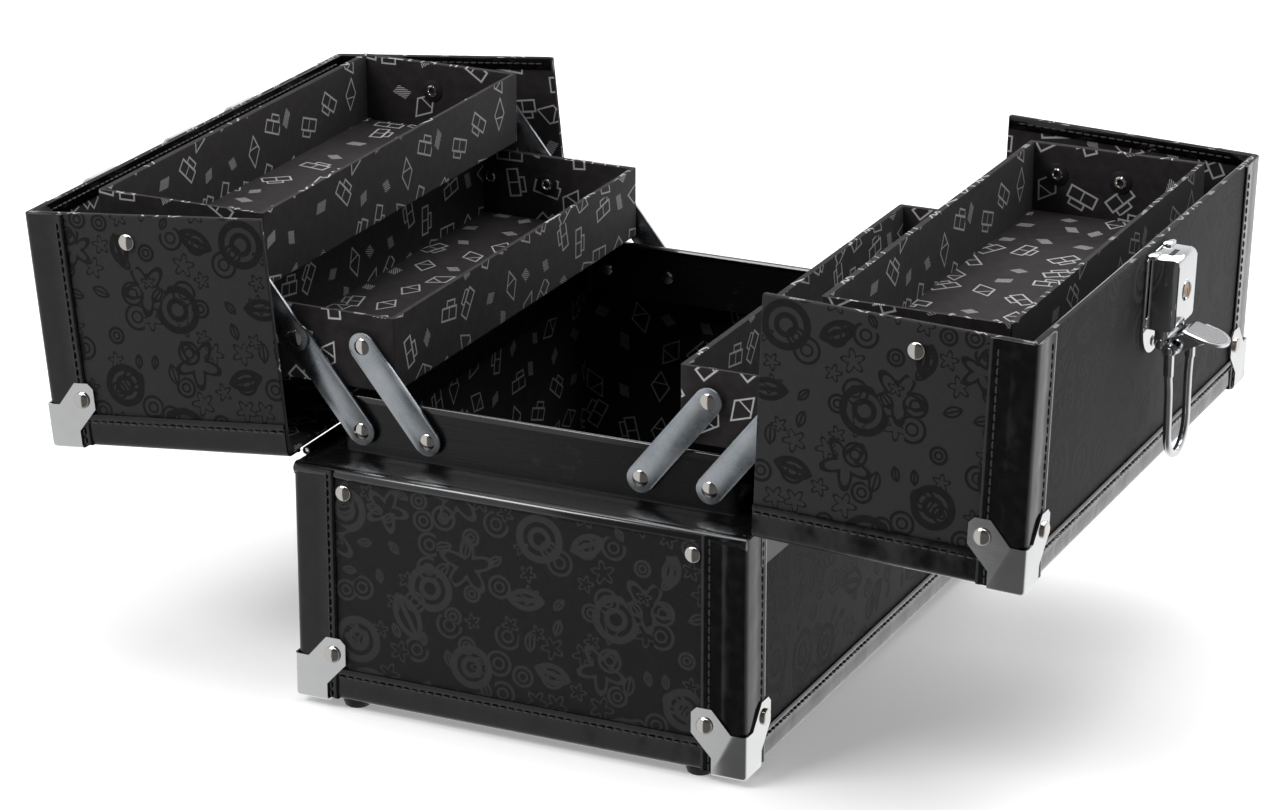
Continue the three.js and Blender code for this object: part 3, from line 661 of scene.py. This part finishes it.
def place_bound_edges(name, edges, body, local=None):
    """Places folded strips as one piece and the stitching of their wide leaves as another."""
    strips, rows = [], []
    for start, stop, toward_a, toward_b, width_a, width_b in edges:
        strips.append(corner_strip(start, stop, toward_a, toward_b, width_a, width_b))
        for along, out, width in ((toward_a, -toward_b, width_a), (toward_b, -toward_a, width_b)):
            if width > STRIP["stitched_from"]:
                shift = along * (width - STITCH["inset"]) + out * (STRIP["thick"] + STITCH["lift"])
                rows.append(stitches(start + shift, stop + shift, out))
    place(f"{name}_binding", joined(strips), body, PATENT, local=local)
    place(f"{name}_stitching", joined(rows), body, THREAD, local=local)


def corner_cap(corner, inward):
    """A cap formed over a corner, with an ear and a rivet on each of two faces."""
    corner, inward = Vector(corner), Vector(inward)
    out = corner - inward * CAP["lift"]
    mesh = bmesh.new()
    shared = {}

    def sheet(points):
        for point in points:
            if point not in shared:
                shared[point] = mesh.verts.new(out + Vector(point) * inward)
        mesh.faces.new([shared[point] for point in points])

    sheet([(u, 0, w) for u, w in CAP_EAR])
    sheet([(0, u, w) for u, w in CAP_EAR])
    sheet([(u, v, 0) for u, v in CAP_FOOT])
    bmesh.ops.recalc_face_normals(mesh, faces=mesh.faces)
    bevel(mesh, [e for e in mesh.edges if len(e.link_faces) == 2], CAP["round"], 4)
    within = out + inward * max(CAP_RIVET)
    outward = sum(f.normal.dot(f.calc_center_median() - within) for f in mesh.faces)
    bmesh.ops.solidify(mesh, geom=list(mesh.faces), thickness=math.copysign(CAP["sheet"], outward))
    u, w = CAP_RIVET
    heads = [rivet(out + Vector((u, 0, w)) * inward, (0, -inward.y, 0)),
             rivet(out + Vector((0, u, w)) * inward, (-inward.x, 0, 0))]
    return mesh, heads


def place_cap(name, corner, inward, body, local=None):
    cap, heads = corner_cap(corner, inward)
    place(f"{name}_plate", cap, body, SATIN, [name], local)
    place(f"{name}_rivets", joined(heads), body, NICKEL, local=local)


# ---- base ----
def open_box(low, high, wall, floor, soft, rim_soft=0.9):
    """A box open at the top: material 0 outside and 1 inside and on the rim."""
    mesh = bmesh.new()
    inner_low = Vector((low.x + wall, low.y + wall, low.z + floor))
    inner_high = Vector((high.x - wall, high.y - wall, high.z))

    def loop(lo, hi, z):
        corners = ((lo.x, lo.y), (hi.x, lo.y), (hi.x, hi.y), (lo.x, hi.y))
        return [mesh.verts.new((x, y, z)) for x, y in corners]

    bottom, top = loop(low, high, low.z), loop(low, high, high.z)
    rim, well = loop(inner_low, inner_high, high.z), loop(inner_low, inner_high, inner_low.z)
    mesh.faces.new(list(reversed(bottom)))
    bridge(mesh, [bottom, top])
    for face in (*bridge(mesh, [top, rim, well]), mesh.faces.new(well)):
        face.material_index = 1

    def within(edge, verts):
        return all(v in verts for v in edge.verts)

    outside = [e for e in mesh.edges if within(e, bottom + top) and not within(e, top)]
    lip = [e for e in mesh.edges if within(e, top) or within(e, rim)]
    bmesh.ops.recalc_face_normals(mesh, faces=mesh.faces)
    bevel(mesh, outside, soft)
    bevel(mesh, [e for e in lip if e.is_valid], rim_soft, 2)
    return mesh


def build_base():
    low, high = BASE_LOW, BASE_HIGH
    top = high.z - BASE["drop"]
    shell = open_box(low, Vector((high.x, high.y, top)), BASE["wall"], BASE["floor"], BASE["soft"])
    # The base's outside takes the copy of the weave with the painted sheen, its figures painted lighter than
    # the ground.
    place("base_case", shell, "base", [SHEEN_PAINTED_WEAVE, LINING], ["base_shell"])

    side, under, below = STRIP["side"], STRIP["low"], BASE["foot_strip"]
    edges = []
    for sx in (-1, 1):
        for sy in (-1, 1):
            corner = Vector((sx * high.x, sy * high.y, low.z))
            edges.append((corner, corner + Z * (top - low.z), -sx * X, -sy * Y, side, side))
    for sy in (-1, 1):
        start = Vector((low.x, sy * high.y, low.z))
        edges.append((start, start + X * (high.x - low.x), Z, -sy * Y, under, below))
    for sx in (-1, 1):
        start = Vector((sx * high.x, low.y, low.z))
        edges.append((start, start + Y * (high.y - low.y), Z, -sx * X, under, below))
    place_bound_edges("base", edges, "base")

    for end, sy in ENDS.items():
        for way, sx in SIDES.items():
            corner = (sx * high.x, sy * high.y, low.z)
            place_cap(f"base_corner_cap_{end}_{way}", corner, (-sx, -sy, 1), "base")
            build_foot(f"foot_{end}_{way}")
    across, up = high.x - PANEL_RIVET["inset"], top - PANEL_RIVET["drop"]
    heads = [rivet((sx * across, sy * high.y, up), (0, sy, 0)) for sx in (-1, 1) for sy in (-1, 1)]
    place("base_panel_rivets", joined(heads), "base", NICKEL)


def build_foot(node):
    """A tapered rubber foot with a dimple for its screw."""
    low, high = cad_span(node)
    middle = (low + high) / 2
    wide, height = (high.x - low.x) / 2, high.z - low.z
    profile = [(0, 1.6), (2.4, 1.6), (2.8, 0.4), (3.4, 0), (wide * 0.7, 0), (wide * 0.78, 0.5)]
    profile += [(wide * 0.95, height - 1.2), (wide, height - 0.6)]
    profile += [(wide * 0.98, height + 0.3), (0, height + 0.3)]
    foot = turned(profile, (middle.x, middle.y, low.z), Z, 32)
    place(f"{node}_rubber", foot, "base", RUBBER, [node])


# ---- the metal frame round the mouth ----
def rounded_loop(half_x, half_y, radius, steps=6):
    """Points round a rectangle with round corners, each with the way out of it."""
    loop = []
    for k, (sx, sy) in enumerate(((1, 1), (-1, 1), (-1, -1), (1, -1))):
        centre = Vector((sx * (half_x - radius), sy * (half_y - radius), 0))
        for i in range(steps + 1):
            angle = math.radians(90 * (k + i / steps))
            out = Vector((math.cos(angle), math.sin(angle), 0))
            loop.append((centre + out * radius, out))
    return loop


def build_frame():
    """One profile run round the mouth: a rolled top, an upright, and a ledge out to the rim."""
    top = cad_span("frame_rail_right")[1].z
    half_x = cad_span("frame_rail_right")[1].x - MOUTH["rail"]
    half_y = MOUTH["half_y"]
    ledge = BASE_HIGH.z + MOUTH["ledge"]
    out_x, out_y = BASE_HIGH.x - BASE["wall"] - half_x + 0.4, BASE_HIGH.y - BASE["wall"] - half_y + 1.2
    skin = -MOUTH["skin"]
    profile = [(skin, ledge - 1.5, 0)]
    profile += [(skin, top - 2.6, 0), (-2.9, top - 2.2, 0), (-3.1, top - 1.2, 0), (-2.6, top - 0.3, 0)]
    profile += [(-1.5, top, 0), (-0.5, top - 0.2, 0), (0, top - 0.9, 0), (0, top - 3, 0)]
    profile += [(0, ledge + 1.8, 0), (0.3, ledge + 0.7, 0), (1.2, ledge + 0.1, 0)]
    profile += [(0, ledge - 0.2, 0.35), (0, ledge - 0.7, 0.9), (0, ledge - 1.3, 1.0), (0, ledge - 2.6, 1.0)]
    profile += [(0, ledge - 2.9, 0.9), (1.2, ledge - 1.5, 0)]
    mesh = bmesh.new()
    rings = []
    for point, out in rounded_loop(half_x, half_y, MOUTH["round"]):
        reach = Vector((math.copysign(out_x, point.x), math.copysign(out_y, point.y), 0))
        section = [point + out * near + reach * share + Z * z for near, z, share in profile]
        rings.append([mesh.verts.new(at) for at in section])
    bridge(mesh, rings + rings[:1])
    for face in mesh.faces:
        face.material_index = int(face.calc_center_median().z > top - MOUTH["polish"])
    nodes = [f"frame_rail_{which}" for which in (*ENDS, *SIDES)]
    place("mouth_frame", mesh, "base", [ANODISED, POLISHED], nodes)
    build_rim()
    build_frame_rivets(half_y - MOUTH["skin"])


def build_rim():
    """Rolled beads over the rim at each end, and plain channels along the sides."""
    radius, proud, wall, overlap = RIM["bead"], RIM["proud"], BASE["wall"], RIM["overlap"]
    top = BASE_HIGH.z + RIM["rise"]
    foot = top - RIM["depth"]
    section = [(-wall - overlap, foot), (-wall - overlap, top)]
    section += arc((proud - radius, top - radius), radius, 90, -75, 10) + [(0.1, foot)]
    beads = []
    for sy in (-1, 1):
        plane = plane_frame((0, sy * BASE_HIGH.y, 0), (0, sy, 0), Z)
        length = BASE_HIGH.x + RIM["over_end"]
        beads.append(prism(section, plane, -length, length, 0.5))
    for sx in (-1, 1):
        left, right = sorted((sx * (BASE_HIGH.x - wall - 0.2), sx * (BASE_HIGH.x + 0.1)))
        deep = BASE_HIGH.y - wall
        beads.append(block((left, -deep, foot), (right, deep, top), 0.8))
    place("rim_beads", joined(beads), "base", POLISHED)


def build_frame_rivets(face):
    """The clenched ends of the lower links' rivets, inside the frame."""
    profile = [(0, 0), (3.6, 0), (3.6, 0.5), (2.6, 1.1), (0, 1.1)]
    ends = []
    for side in SIDES:
        for which in PAIRS:
            at = pivot(f"lower_link_{which}_hinge_{side}")
            ends += [turned(profile, (at.x, sy * face, at.z), (0, -sy, 0)) for sy in (-1, 1)]
    place("frame_rivet_ends", joined(ends), "base", NICKEL)


# ---- lids ----
def build_lid(side):
    local = LID_FRAMES[side]
    body = f"lid_{side}"
    low, high = cad_span(f"lid_shell_{side}", local)
    panel = LID["panel"]
    walls = [
        ((high.x - panel, low.y, low.z), high),
        (low, (high.x, high.y, low.z + panel)),
        (low, (high.x, low.y + panel, high.z)),
        ((low.x, high.y - panel, low.z), high),
    ]
    shell = joined([block(*corners, LID["soft"]) for corners in walls])
    bmesh.ops.recalc_face_normals(shell, faces=shell.faces)
    near = LID["face"]
    for face in shell.faces:
        at, normal = face.calc_center_median(), face.normal
        on_top = at.x > high.x - near and normal.x > near
        on_side = at.z < low.z + near and normal.z < -near
        on_end = abs(at.y) > high.y - near and normal.y * at.y > 0
        # Ends take the weave with figures painted darker, top and side panels the copy with the painted
        # sheen, chosen by the way each face points.
        face.material_index = 0 if on_end else 2 if on_top or on_side else 1
    materials = [WEAVE, LINING, SHEEN_PAINTED_WEAVE]
    place(f"lid_case_{side}", shell, body, materials, [f"lid_shell_{side}"], local)
    build_lid_binding(side, local, body, low, high)
    build_lid_tape(side, local, body, low, high)
    for end, sy in ENDS.items():
        corner = (high.x, sy * high.y, low.z)
        place_cap(f"lid_corner_cap_{end}_{side}", corner, (-1, -sy, 1), body, local)


def build_lid_binding(side, local, body, low, high):
    """Folded strips along the closed lid's outer edges."""
    wide, under, below = STRIP["side"], STRIP["low"], LID["foot_strip"]
    edges = []
    for sy in (-1, 1):
        foot = Vector((high.x, sy * high.y, low.z))
        rise = Z * (high.z - low.z - LID["rim_drop"])
        edges.append((foot, foot + rise, -X, -sy * Y, wide, wide))
        start = Vector((low.x + 0.3, sy * high.y, low.z))
        edges.append((start, start + X * (high.x - low.x - 0.3), Z, -sy * Y, under, below))
    start = Vector((high.x, low.y, low.z))
    edges.append((start, start + Y * (high.y - low.y), Z, -X, under, below))
    place_bound_edges(f"lid_{side}", edges, body, local)


def build_lid_tape(side, local, body, low, high):
    """A stitched tape inside the lid's rim."""
    inside = high.x - LID["panel"]
    rim, lift, inset = high.z - TAPE["gap"], TAPE["lift"], TAPE["inset"]
    foot, reach, row = high.z - TAPE["side"], high.y - LID["panel"], high.z - TAPE["row"]
    tapes = [block((inside - 0.5, -reach, foot), (inside + 0.2, reach, rim), 0.3, 2)]
    rows = [stitches((inside - lift, low.y + inset, row), (inside - lift, high.y - inset, row), (-1, 0, 0))]
    for sy in (-1, 1):
        face = sy * reach
        near, far = sorted((face, face - sy * 0.5))
        tapes.append(block((low.x + 0.4, near, high.z - TAPE["end"]), (inside, far, rim), 0.2, 2))
        start = Vector((low.x + inset, face - sy * lift, high.z - TAPE["end_row"]))
        rows.append(stitches(start, (inside - inset, start.y, start.z), (0, -sy, 0)))
    place(f"lid_{side}_rim_tape", joined(tapes), body, PATENT, local=local)
    place(f"lid_{side}_rim_stitching", joined(rows), body, THREAD, local=local)


# ---- trays, links and lid arms ----
def link_ends(level, which, side):
    """The foot and head pivots of one pair of links."""
    rise = pivot(f"lower_tray_hinge_{side}") - pivot(f"lower_link_outer_hinge_{side}")
    foot = pivot(f"{level}_link_{which}_hinge_{side}")
    return foot, foot + rise


def build_tray(level, side):
    node = f"{level}_tray_{side}"
    low, high = cad_span(node)
    case = open_box(low, high, TRAY["wall"], TRAY["floor"], TRAY["soft"], TRAY["soft"])
    place(f"{node}_case", case, node, [LINING, LINING], [node])
    points = [link_ends(level, which, side)[1] for which in PAIRS]
    if level == "lower":
        points.append(link_ends("upper", "outer", side)[0])
    discs, rolls = [], []
    for point in points:
        for sy in (-1, 1):
            disc, roll = eyelet((point.x, sy * (high.y - TRAY["wall"]), point.z), (0, -sy, 0))
            discs.append(disc)
            rolls.append(roll)
    place(f"{node}_washers", joined(discs), node, RUBBER)
    place(f"{node}_eyelets", joined(rolls), node, NICKEL)


def pressed_ring(at, normal):
    """The raised ring that pressing leaves round a rivet."""
    rim = LINK["ring"]
    bore = rim - 1.3
    profile = [(bore, -0.2), (bore + 0.1, 0.2), (rim - 0.7, 0.35), (rim, 0), (rim, -0.2), (bore, -0.2)]
    return turned(profile, at, normal)


def build_links(side):
    """A strap with a riveted ring at each end, and spacers behind those of the upper links."""
    for level in LEVELS:
        for which in PAIRS:
            ends = link_ends(level, which, side)
            outline = stadium(*[(p.x, p.z) for p in ends], LINK["radius"])
            body = f"{level}_links_{which}_{side}"
            for end, sy in ENDS.items():
                node = f"{level}_link_{which}_{end}_{side}"
                low, high = cad_span(node)
                face = sy * (max(abs(low.y), abs(high.y)) - CAD_HEAD)
                strap = slab(outline, face, face + sy * LINK["thick"], LINK["soft"])
                place(f"{node}_strap", strap, body, ZINC, [node])
                spots = [Vector((p.x, face, p.z)) for p in ends]
                heads = [rivet(spot, sy * Y, LINK["head"], LINK["dome"]) for spot in spots]
                heads += [pressed_ring(spot, sy * Y) for spot in spots]
                place(f"{node}_rivets", joined(heads), body, NICKEL)
                if level == "upper":
                    build_spacers(node, body, spots[1:] if which == "inner" else spots, sy)


def build_spacers(node, body, spots, sy):
    length = SPACER["length"]
    back = sy * Y * (LINK["thick"] + length)
    spacers = [rod(SPACER["radius"], length, spot - back, sy * Y) for spot in spots]
    place(f"{node}_spacers", joined(spacers), body, ZINC)


def arm_outline(start, reach):
    """A bowed strap with round ends between two points of the lid's flat frame."""
    along = (reach - start).normalized()
    across = Vector((-along.z, 0, along.x))
    lean = math.degrees(math.atan2(along.z, along.x))
    steps, radius = ARM["steps"], ARM["radius"]
    points = []
    for sign, order, centre in ((1, range(steps + 1), reach), (-1, range(steps, -1, -1), start)):
        for i in order:
            bow = ARM["bend"] * math.sin(math.pi * i / steps) + sign * radius
            at = start.lerp(reach, i / steps) + across * bow
            points.append((at.x, at.z))
        first = lean + sign * 90
        points += arc((centre.x, centre.z), radius, first, first - 180, 10)[1:-1]
    return points


def build_arms(side):
    """Bowed arms from the lid's end panels to the lower tray's outermost pivot."""
    local = LID_FRAMES[side]
    back = local.inverted()
    start = back @ pivot(f"lid_arm_hinge_{side}")
    reach = back @ link_ends("upper", "outer", side)[0]
    start.y = reach.y = 0
    outline = arm_outline(start, reach)
    body = f"lid_arms_{side}"
    for end, sy in ENDS.items():
        node = f"lid_arm_{end}_{side}"
        low, high = cad_span(node)
        near, far = sorted((abs(low.y), abs(high.y)))
        outer, face = near + LINK["thick"], far - CAD_HEAD
        strap = slab(outline, sy * near, sy * outer, LINK["soft"])
        place(f"{node}_strap", strap, body, CHROME, [node], local)
        heads = [
            rivet((start.x, sy * face, start.z), sy * Y, 4.6, 2.4),
            rivet((reach.x, sy * outer, reach.z), sy * Y, 4.4, 2.1),
            rod(ARM["boss"], face - near - 4, (start.x, sy * (near + 0.5), start.z), sy * Y),
            rivet((start.x, sy * near, start.z), -sy * Y, 4.4, 1.6),
        ]
        place(f"{node}_rivets", joined(heads), body, NICKEL, local=local)


def build_hinges():
    """The rolled hinges keep their CAD shape and get plated steel."""
    for node, piece in frame["nodes"].items():
        if node.startswith("hinge_"):
            piece.data.materials.clear()
            piece.data.materials.append(NICKEL if node.startswith("hinge_pin") else DARK_STEEL)


# ---- latch ----
def build_latch():
    local = LID_FRAMES["right"]
    build_latch_plate(local)
    build_latch_case(local)
    build_plug(local)
    build_lever(local)
    build_bail()


def build_latch_plate(local):
    """A plate with a round foot, three screws and two tabs turned over the rim."""
    low, high = cad_span("latch_plate", local)
    middle = (low.y + high.y) / 2
    half = (high.y - low.y) / 2
    outline = arc((0, low.z + half), half, 180, 360, 20)
    outline += [(half, high.z - 2), (half - 2, high.z), (2 - half, high.z), (-half, high.z - 2)]
    plate = prism(outline, plane_frame((low.x, middle, 0), Y, Z), 0, high.x - low.x, 0.5, 3)
    tabs = []
    for y in (middle - half + 5.5, middle + half - 5.5):
        tabs.append(block((low.x - 0.1, y - 4.5, high.z - 1.5), (high.x + 3.6, y + 4.5, high.z + 0.9), 0.9))
    backplate = joined([plate, *tabs])
    place("latch_backplate", backplate, "lid_right", CHROME, ["latch_plate"], local)
    spots = ((0, 5.5), (5 - half, 19), (half - 5, 19))
    screws = [rivet((high.x, middle + y, low.z + up), X, 2.8, 1.2) for y, up in spots]
    place("latch_screws", joined(screws), "lid_right", NICKEL, local=local)


def build_latch_case(local):
    """The housing, with an ear and a pin on each side for the lever, and a black block on its top as painted
    shade for a slot.
    """
    low, high = cad_span("latch_case", local)
    hub = local.inverted() @ pivot("latch_lever_hinge")
    floor = high.z - LATCH_CASE["height"]
    foot, crown, ear = LATCH_CASE["foot"], LATCH_CASE["crown"], LATCH_CASE["ear"]
    outline = [(low.x, floor), (high.x - foot - 1, floor)]
    outline += arc((high.x - foot, floor + foot + 0.5), foot, -60, 0, 4)
    outline += arc((high.x - crown, high.z - crown), crown, 0, 90, 6) + [(low.x, high.z)]
    parts = [slab(outline, low.y, high.y, 1.1, 3)]
    ear_outline = stadium((hub.x, hub.z), (hub.x, floor + 3), ear)
    for face, inward in ((low.y, 1), (high.y, -1)):
        outer = face + inward * LATCH_CASE["inset"]
        parts.append(slab(ear_outline, outer, outer + inward * LATCH_CASE["ear_sheet"], 0.3))
    parts += [rivet((hub.x, face, hub.z), out, 2.3, 0.9) for face, out in ((low.y, -Y), (high.y, Y))]
    # A thin black block on the top stands for the slot's hollow: painted shade.
    slot = block((high.x - 9, low.y + 7, high.z - 0.5), (high.x - 6, high.y - 9, high.z + 0.05), 0.2, 1)
    place("latch_housing", joined(parts), "lid_right", CHROME, ["latch_case"], local)
    place("latch_housing_slot_painted_shade", slot, "lid_right", RUBBER, local=local)


def build_plug(local):
    """The key plug, a black sheet on its face as painted shade for the keyway, and the ring round it on the
    housing.
    """
    low, high = cad_span("lock_plug", local)
    centre = (low + high) / 2
    radius, length = (high.y - low.y) / 2, high.x - low.x
    profile = [(0, 0), (radius, 0), (radius, length - 0.7), (radius - 0.5, length - 0.2)]
    profile += [(radius - 1.2, length), (0, length)]
    plug = turned(profile, (low.x, centre.y, centre.z), X, 28)
    place("lock_plug_face", plug, "lock_plug", BRASS, ["lock_plug"], local)
    # The keyway is a thin black block on the plug's face: painted shade for the hollow.
    out, y, z = high.x + 0.04, centre.y, centre.z
    keyway = block((out - 0.4, y - 0.6, z - 3.1), (out, y + 0.6, z + 1.1), 0.15, 1)
    place("lock_keyway_painted_shade", keyway, "lock_plug", RUBBER, local=local)
    bore, rim = radius + 0.2, radius + 1.5
    profile = [(bore, -0.6), (bore, 0.4), (radius + 0.7, 0.8), (rim, 0.1), (rim, -0.6), (bore, -0.6)]
    escutcheon = turned(profile, (high.x - 0.3, centre.y, centre.z), X, 28)
    place("lock_escutcheon", escutcheon, "lid_right", CHROME, local=local)


def build_lever(local):
    """An oval thumb paddle held off a rolled hub by two cheeks, with an axle for the bail."""
    back = local.inverted()
    hub = back @ pivot("latch_lever_hinge")
    axle = back @ pivot("latch_bail_hinge")
    out = (axle - hub).normalized()
    up = Vector((-out.z, 0, out.x))
    half, length, root, rise = LEVER["half"], LEVER["length"], LEVER["root"], LEVER["rise"]
    sheet, cut, roll, pin, reach = (LEVER[key] for key in ("sheet", "cut", "roll", "pin", "pin_reach"))
    paddle = plane_frame(hub + up * rise, out, Y)
    outline = [(root, half - cut), (root, cut - half), (root + cut, -half)]
    outline += arc((length - half, 0), half, -90, 90, 22) + [(root + cut, half)]
    cheek = [(-1.2, -2.9), (7, -3.3), (10.5, -1.6), (14, 2.6), (17, 6), (21, rise + 0.4)]
    cheek += [(root + 0.5, rise + 0.4), (3, 3), (-1.2, 2.8)]
    parts = [prism(outline, paddle, 0, sheet, 0.6, 3)]
    for at, low, high in ((half, 0, sheet), (-half, -sheet, 0)):
        parts.append(prism(cheek, plane_frame(hub + Y * at, out, up), low, high, 0.3))
    soft, width = 0.7, 2 * half
    profile = [(0, 0), (roll - soft, 0), (roll, soft), (roll, width - soft), (roll - soft, width), (0, width)]
    parts += [turned(profile, (p.x, hub.y - half, p.z), Y) for p in (hub, axle)]
    parts.append(rod(pin, 2 * reach, (axle.x, hub.y - reach, axle.z), Y, 16))
    place("latch_thumb_lever", joined(parts), "latch_lever", CHROME, ["latch_lever"], local)
    middle = (root + length) / 2
    inset = [(middle + (u - middle) * 0.87, v * 0.82) for u, v in outline]
    face = prism(inset, paddle, sheet - 0.3, sheet + 0.08, 0.07, 1)
    place("latch_lever_face", face, "latch_lever", BRUSHED, local=local)


def build_bail():
    """A wire loop with flattened eyes, hanging plumb."""
    axle = pivot("latch_bail_hinge")
    half, length, wire = BAIL["half"], BAIL["length"], BAIL["wire"]
    bore, eye = BAIL["bore"], BAIL["eye"]
    knots = [(-half, 2.5), (-half - 0.2, 12), (-half + 1.4, 22), (-half + 1.8, length - half - 6)]
    turns = [math.pi * i / 8 for i in range(9)]
    lower = [(-(half - 1.8) * math.cos(t), length - half + (half - 1.0) * math.sin(t)) for t in turns]
    right = [(-y, drop) for y, drop in reversed(knots)]
    path = [axle + y * Y - drop * Z for y, drop in knots + lower + right]
    parts = [swept(smooth_path(path, 5), ring(wire, 14))]
    profile = [(bore, 0), (eye - 0.6, 0), (eye, 0.6), (eye, 3.4), (eye - 0.6, 4.0), (bore, 4.0), (bore, 0)]
    for sy in (-1, 1):
        parts.append(turned(profile, axle + sy * BAIL["eye_from"] * Y, sy * Y, 22))
        neck = [axle + sy * half * Y - drop * Z for drop in (1.5, 5, 9, 13)]
        parts.append(swept(neck, [(u * 1.15, v * 1.5) for u, v in ring(wire)]))
    parts += [rivet(axle + sy * BAIL["tip"] * Y, sy * Y, 2.1, 1.0) for sy in (-1, 1)]
    place("latch_bail_loop", joined(parts), "latch_bail", CHROME, ["latch_bail"])


# ---- catch and handle ----
def build_catch():
    """A hooked block for the bail, on a short flange."""
    local = LID_FRAMES["left"]
    low, high = cad_span("latch_catch", local)
    flange, bend = low.x + CATCH["flange"], low.x + CATCH["bend"]
    foot, lip, crown = low.z + CATCH["foot"], low.z + CATCH["lip"], CATCH["crown"]
    outline = [(low.x, low.z), (flange, low.z), (flange, foot), (bend, foot), (bend, lip)]
    outline += [(high.x - 1.5, lip)] + arc((high.x - 1.2, lip + 1.4), 1.2, -60, 0, 3)
    outline += arc((high.x - crown, high.z - crown), crown, 0, 90, 6) + [(low.x, high.z)]
    catch = slab(outline, low.y, high.y, 0.9, 3)
    place("latch_catch_block", catch, "lid_left", CHROME, ["latch_catch"], local)


def build_handle():
    local = LID_FRAMES["left"]
    for end in ENDS:
        build_bracket(f"handle_bracket_{end}", local)
    low, high = cad_span("handle_grip")
    at = pivot("handle_grip_hinge")
    at.y = (low.y + high.y) / 2
    radius, pin = HANDLE["radius"], HANDLE["pin"]
    half = (high.y - low.y) / 2 - HANDLE["inset"]
    fall = at.z - low.z - radius
    knots = [(half, 0), (half - 10, 1), (half - 20, fall * 0.45), (half - 30, fall * 0.92)]
    across = [(-y, drop) for y, drop in knots] + [(0, fall)] + list(reversed(knots))
    path = [at + y * Y - drop * Z for y, drop in across]
    bar = swept(smooth_path(path, 6), ring(radius, 18, HANDLE["flat"]))
    place("handle_grip_bar", bar, "handle_grip", GRIP, ["handle_grip"])
    pins = [rod(pin, HANDLE["pin_length"], at + sy * (half - 2) * Y, sy * Y, 18) for sy in (-1, 1)]
    place("handle_grip_pins", joined(pins), "handle_grip", NICKEL)


def build_bracket(node, local):
    """A rounded block over the end of the grip, on a flange."""
    low, high = cad_span(node, local)
    foot, crown, reach = BRACKET["foot"], BRACKET["crown"], BRACKET["flange"]
    outline = [(low.x, low.z), (low.x + foot, low.z)]
    outline += arc((high.x - foot, low.z + foot + 0.5), foot, -60, 0, 5)
    outline += arc((high.x - crown, high.z - crown), crown, 0, 90, 7) + [(low.x, high.z)]
    bracket = slab(outline, low.y, high.y, 1.2, 3)
    flange = block((low.x - 0.1, low.y - reach, low.z + 1), (low.x + 1.3, high.y + reach, high.z - 1), 0.6)
    place(f"{node}_shell", joined([bracket, flange]), "lid_left", CHROME, [node], local)


# ---- studio ----
CAMERA = {"at": (0.92697, -1.9969, 0.93395), "look": (0.0001, -0.0209, 0.1341), "lens": 125.0, "sensor": 36.0}
FLOOR = {"half": 12, "glow": 0.3, "tones": ((0.86, 0.86, 0.86), (0.9, 0.9, 0.9)), "rough": 0.9}
# Each light's place, where it points, its two sizes and its power.
LIGHTS = {
    "key": ((-1.2, -1.6, 2.2), (0, 0, 0.15), (1.4, 1.0), 42),
    "top": ((0.3, 0.3, 2.6), (0, 0, 0.1), (2.2, 2.2), 52),
    "back": ((0.2, 2.4, 1.9), (0, 0, 0.1), (2.2, 0.9), 26),
}


def aimed(thing, at, look):
    thing.location = at
    thing.rotation_euler = (Vector(look) - Vector(at)).to_track_quat("-Z", "Y").to_euler()


def area_light(name, at, look, size, power):
    light = bpy.data.lights.new(name, "AREA")
    light.shape = "RECTANGLE"
    light.size, light.size_y = size
    light.energy = power
    aimed(added(name, light), at, look)


def build_camera():
    camera = bpy.data.cameras.new("camera")
    camera.lens = CAMERA["lens"]
    camera.sensor_width = CAMERA["sensor"]
    camera.clip_end = 50
    eye = added("camera", camera)
    aimed(eye, CAMERA["at"], CAMERA["look"])
    bpy.context.scene.camera = eye


def build_floor():
    mesh = bmesh.new()
    bmesh.ops.create_grid(mesh, x_segments=4, y_segments=4, size=FLOOR["half"])
    floor = added("floor", mesh_data("floor", mesh))
    n = Surface("pale floor", Emission_Color=(1, 1, 1, 1), Emission_Strength=FLOOR["glow"])
    shade = n.noise(n.spot(), 0.7, 2.0)
    floor.data.materials.append(n.paint(n.tint(shade, *FLOOR["tones"]), FLOOR["rough"]))
    floor.visible_glossy = False


def build_surround():
    """A bright backdrop, a dimmer ceiling, a dim room in front and a pale panel to the left."""
    world = bpy.data.worlds.new("studio")
    n = Nodes(world)
    x, y, z = n.split(n.spot("Generated"))
    backdrop = n.spread(y, -0.5, 0.45, 0.1, 1.0, "SMOOTHSTEP")
    ceiling = n.spread(z, 0.1, 0.5, 1.0, 0.5, "SMOOTHSTEP")
    panel = n.spread(x, -0.315, -0.375, 0.0, 0.62, "SMOOTHSTEP")
    light = n.node("ShaderNodeBackground", {"Color": n.most(n.times(backdrop, ceiling), panel)})
    n.node("ShaderNodeOutputWorld", {"Surface": light[0]})
    bpy.context.scene.world = world


def build_studio():
    build_camera()
    build_floor()
    build_surround()
    for name, settings in LIGHTS.items():
        area_light(name, *settings)
    bpy.context.scene.view_settings.view_transform = "Standard"


build_studio()
build_base()
build_frame()
for side in SIDES:
    build_lid(side)
    build_arms(side)
    for level in LEVELS:
        build_tray(level, side)
    build_links(side)
build_hinges()
build_latch()
build_catch()
build_handle()
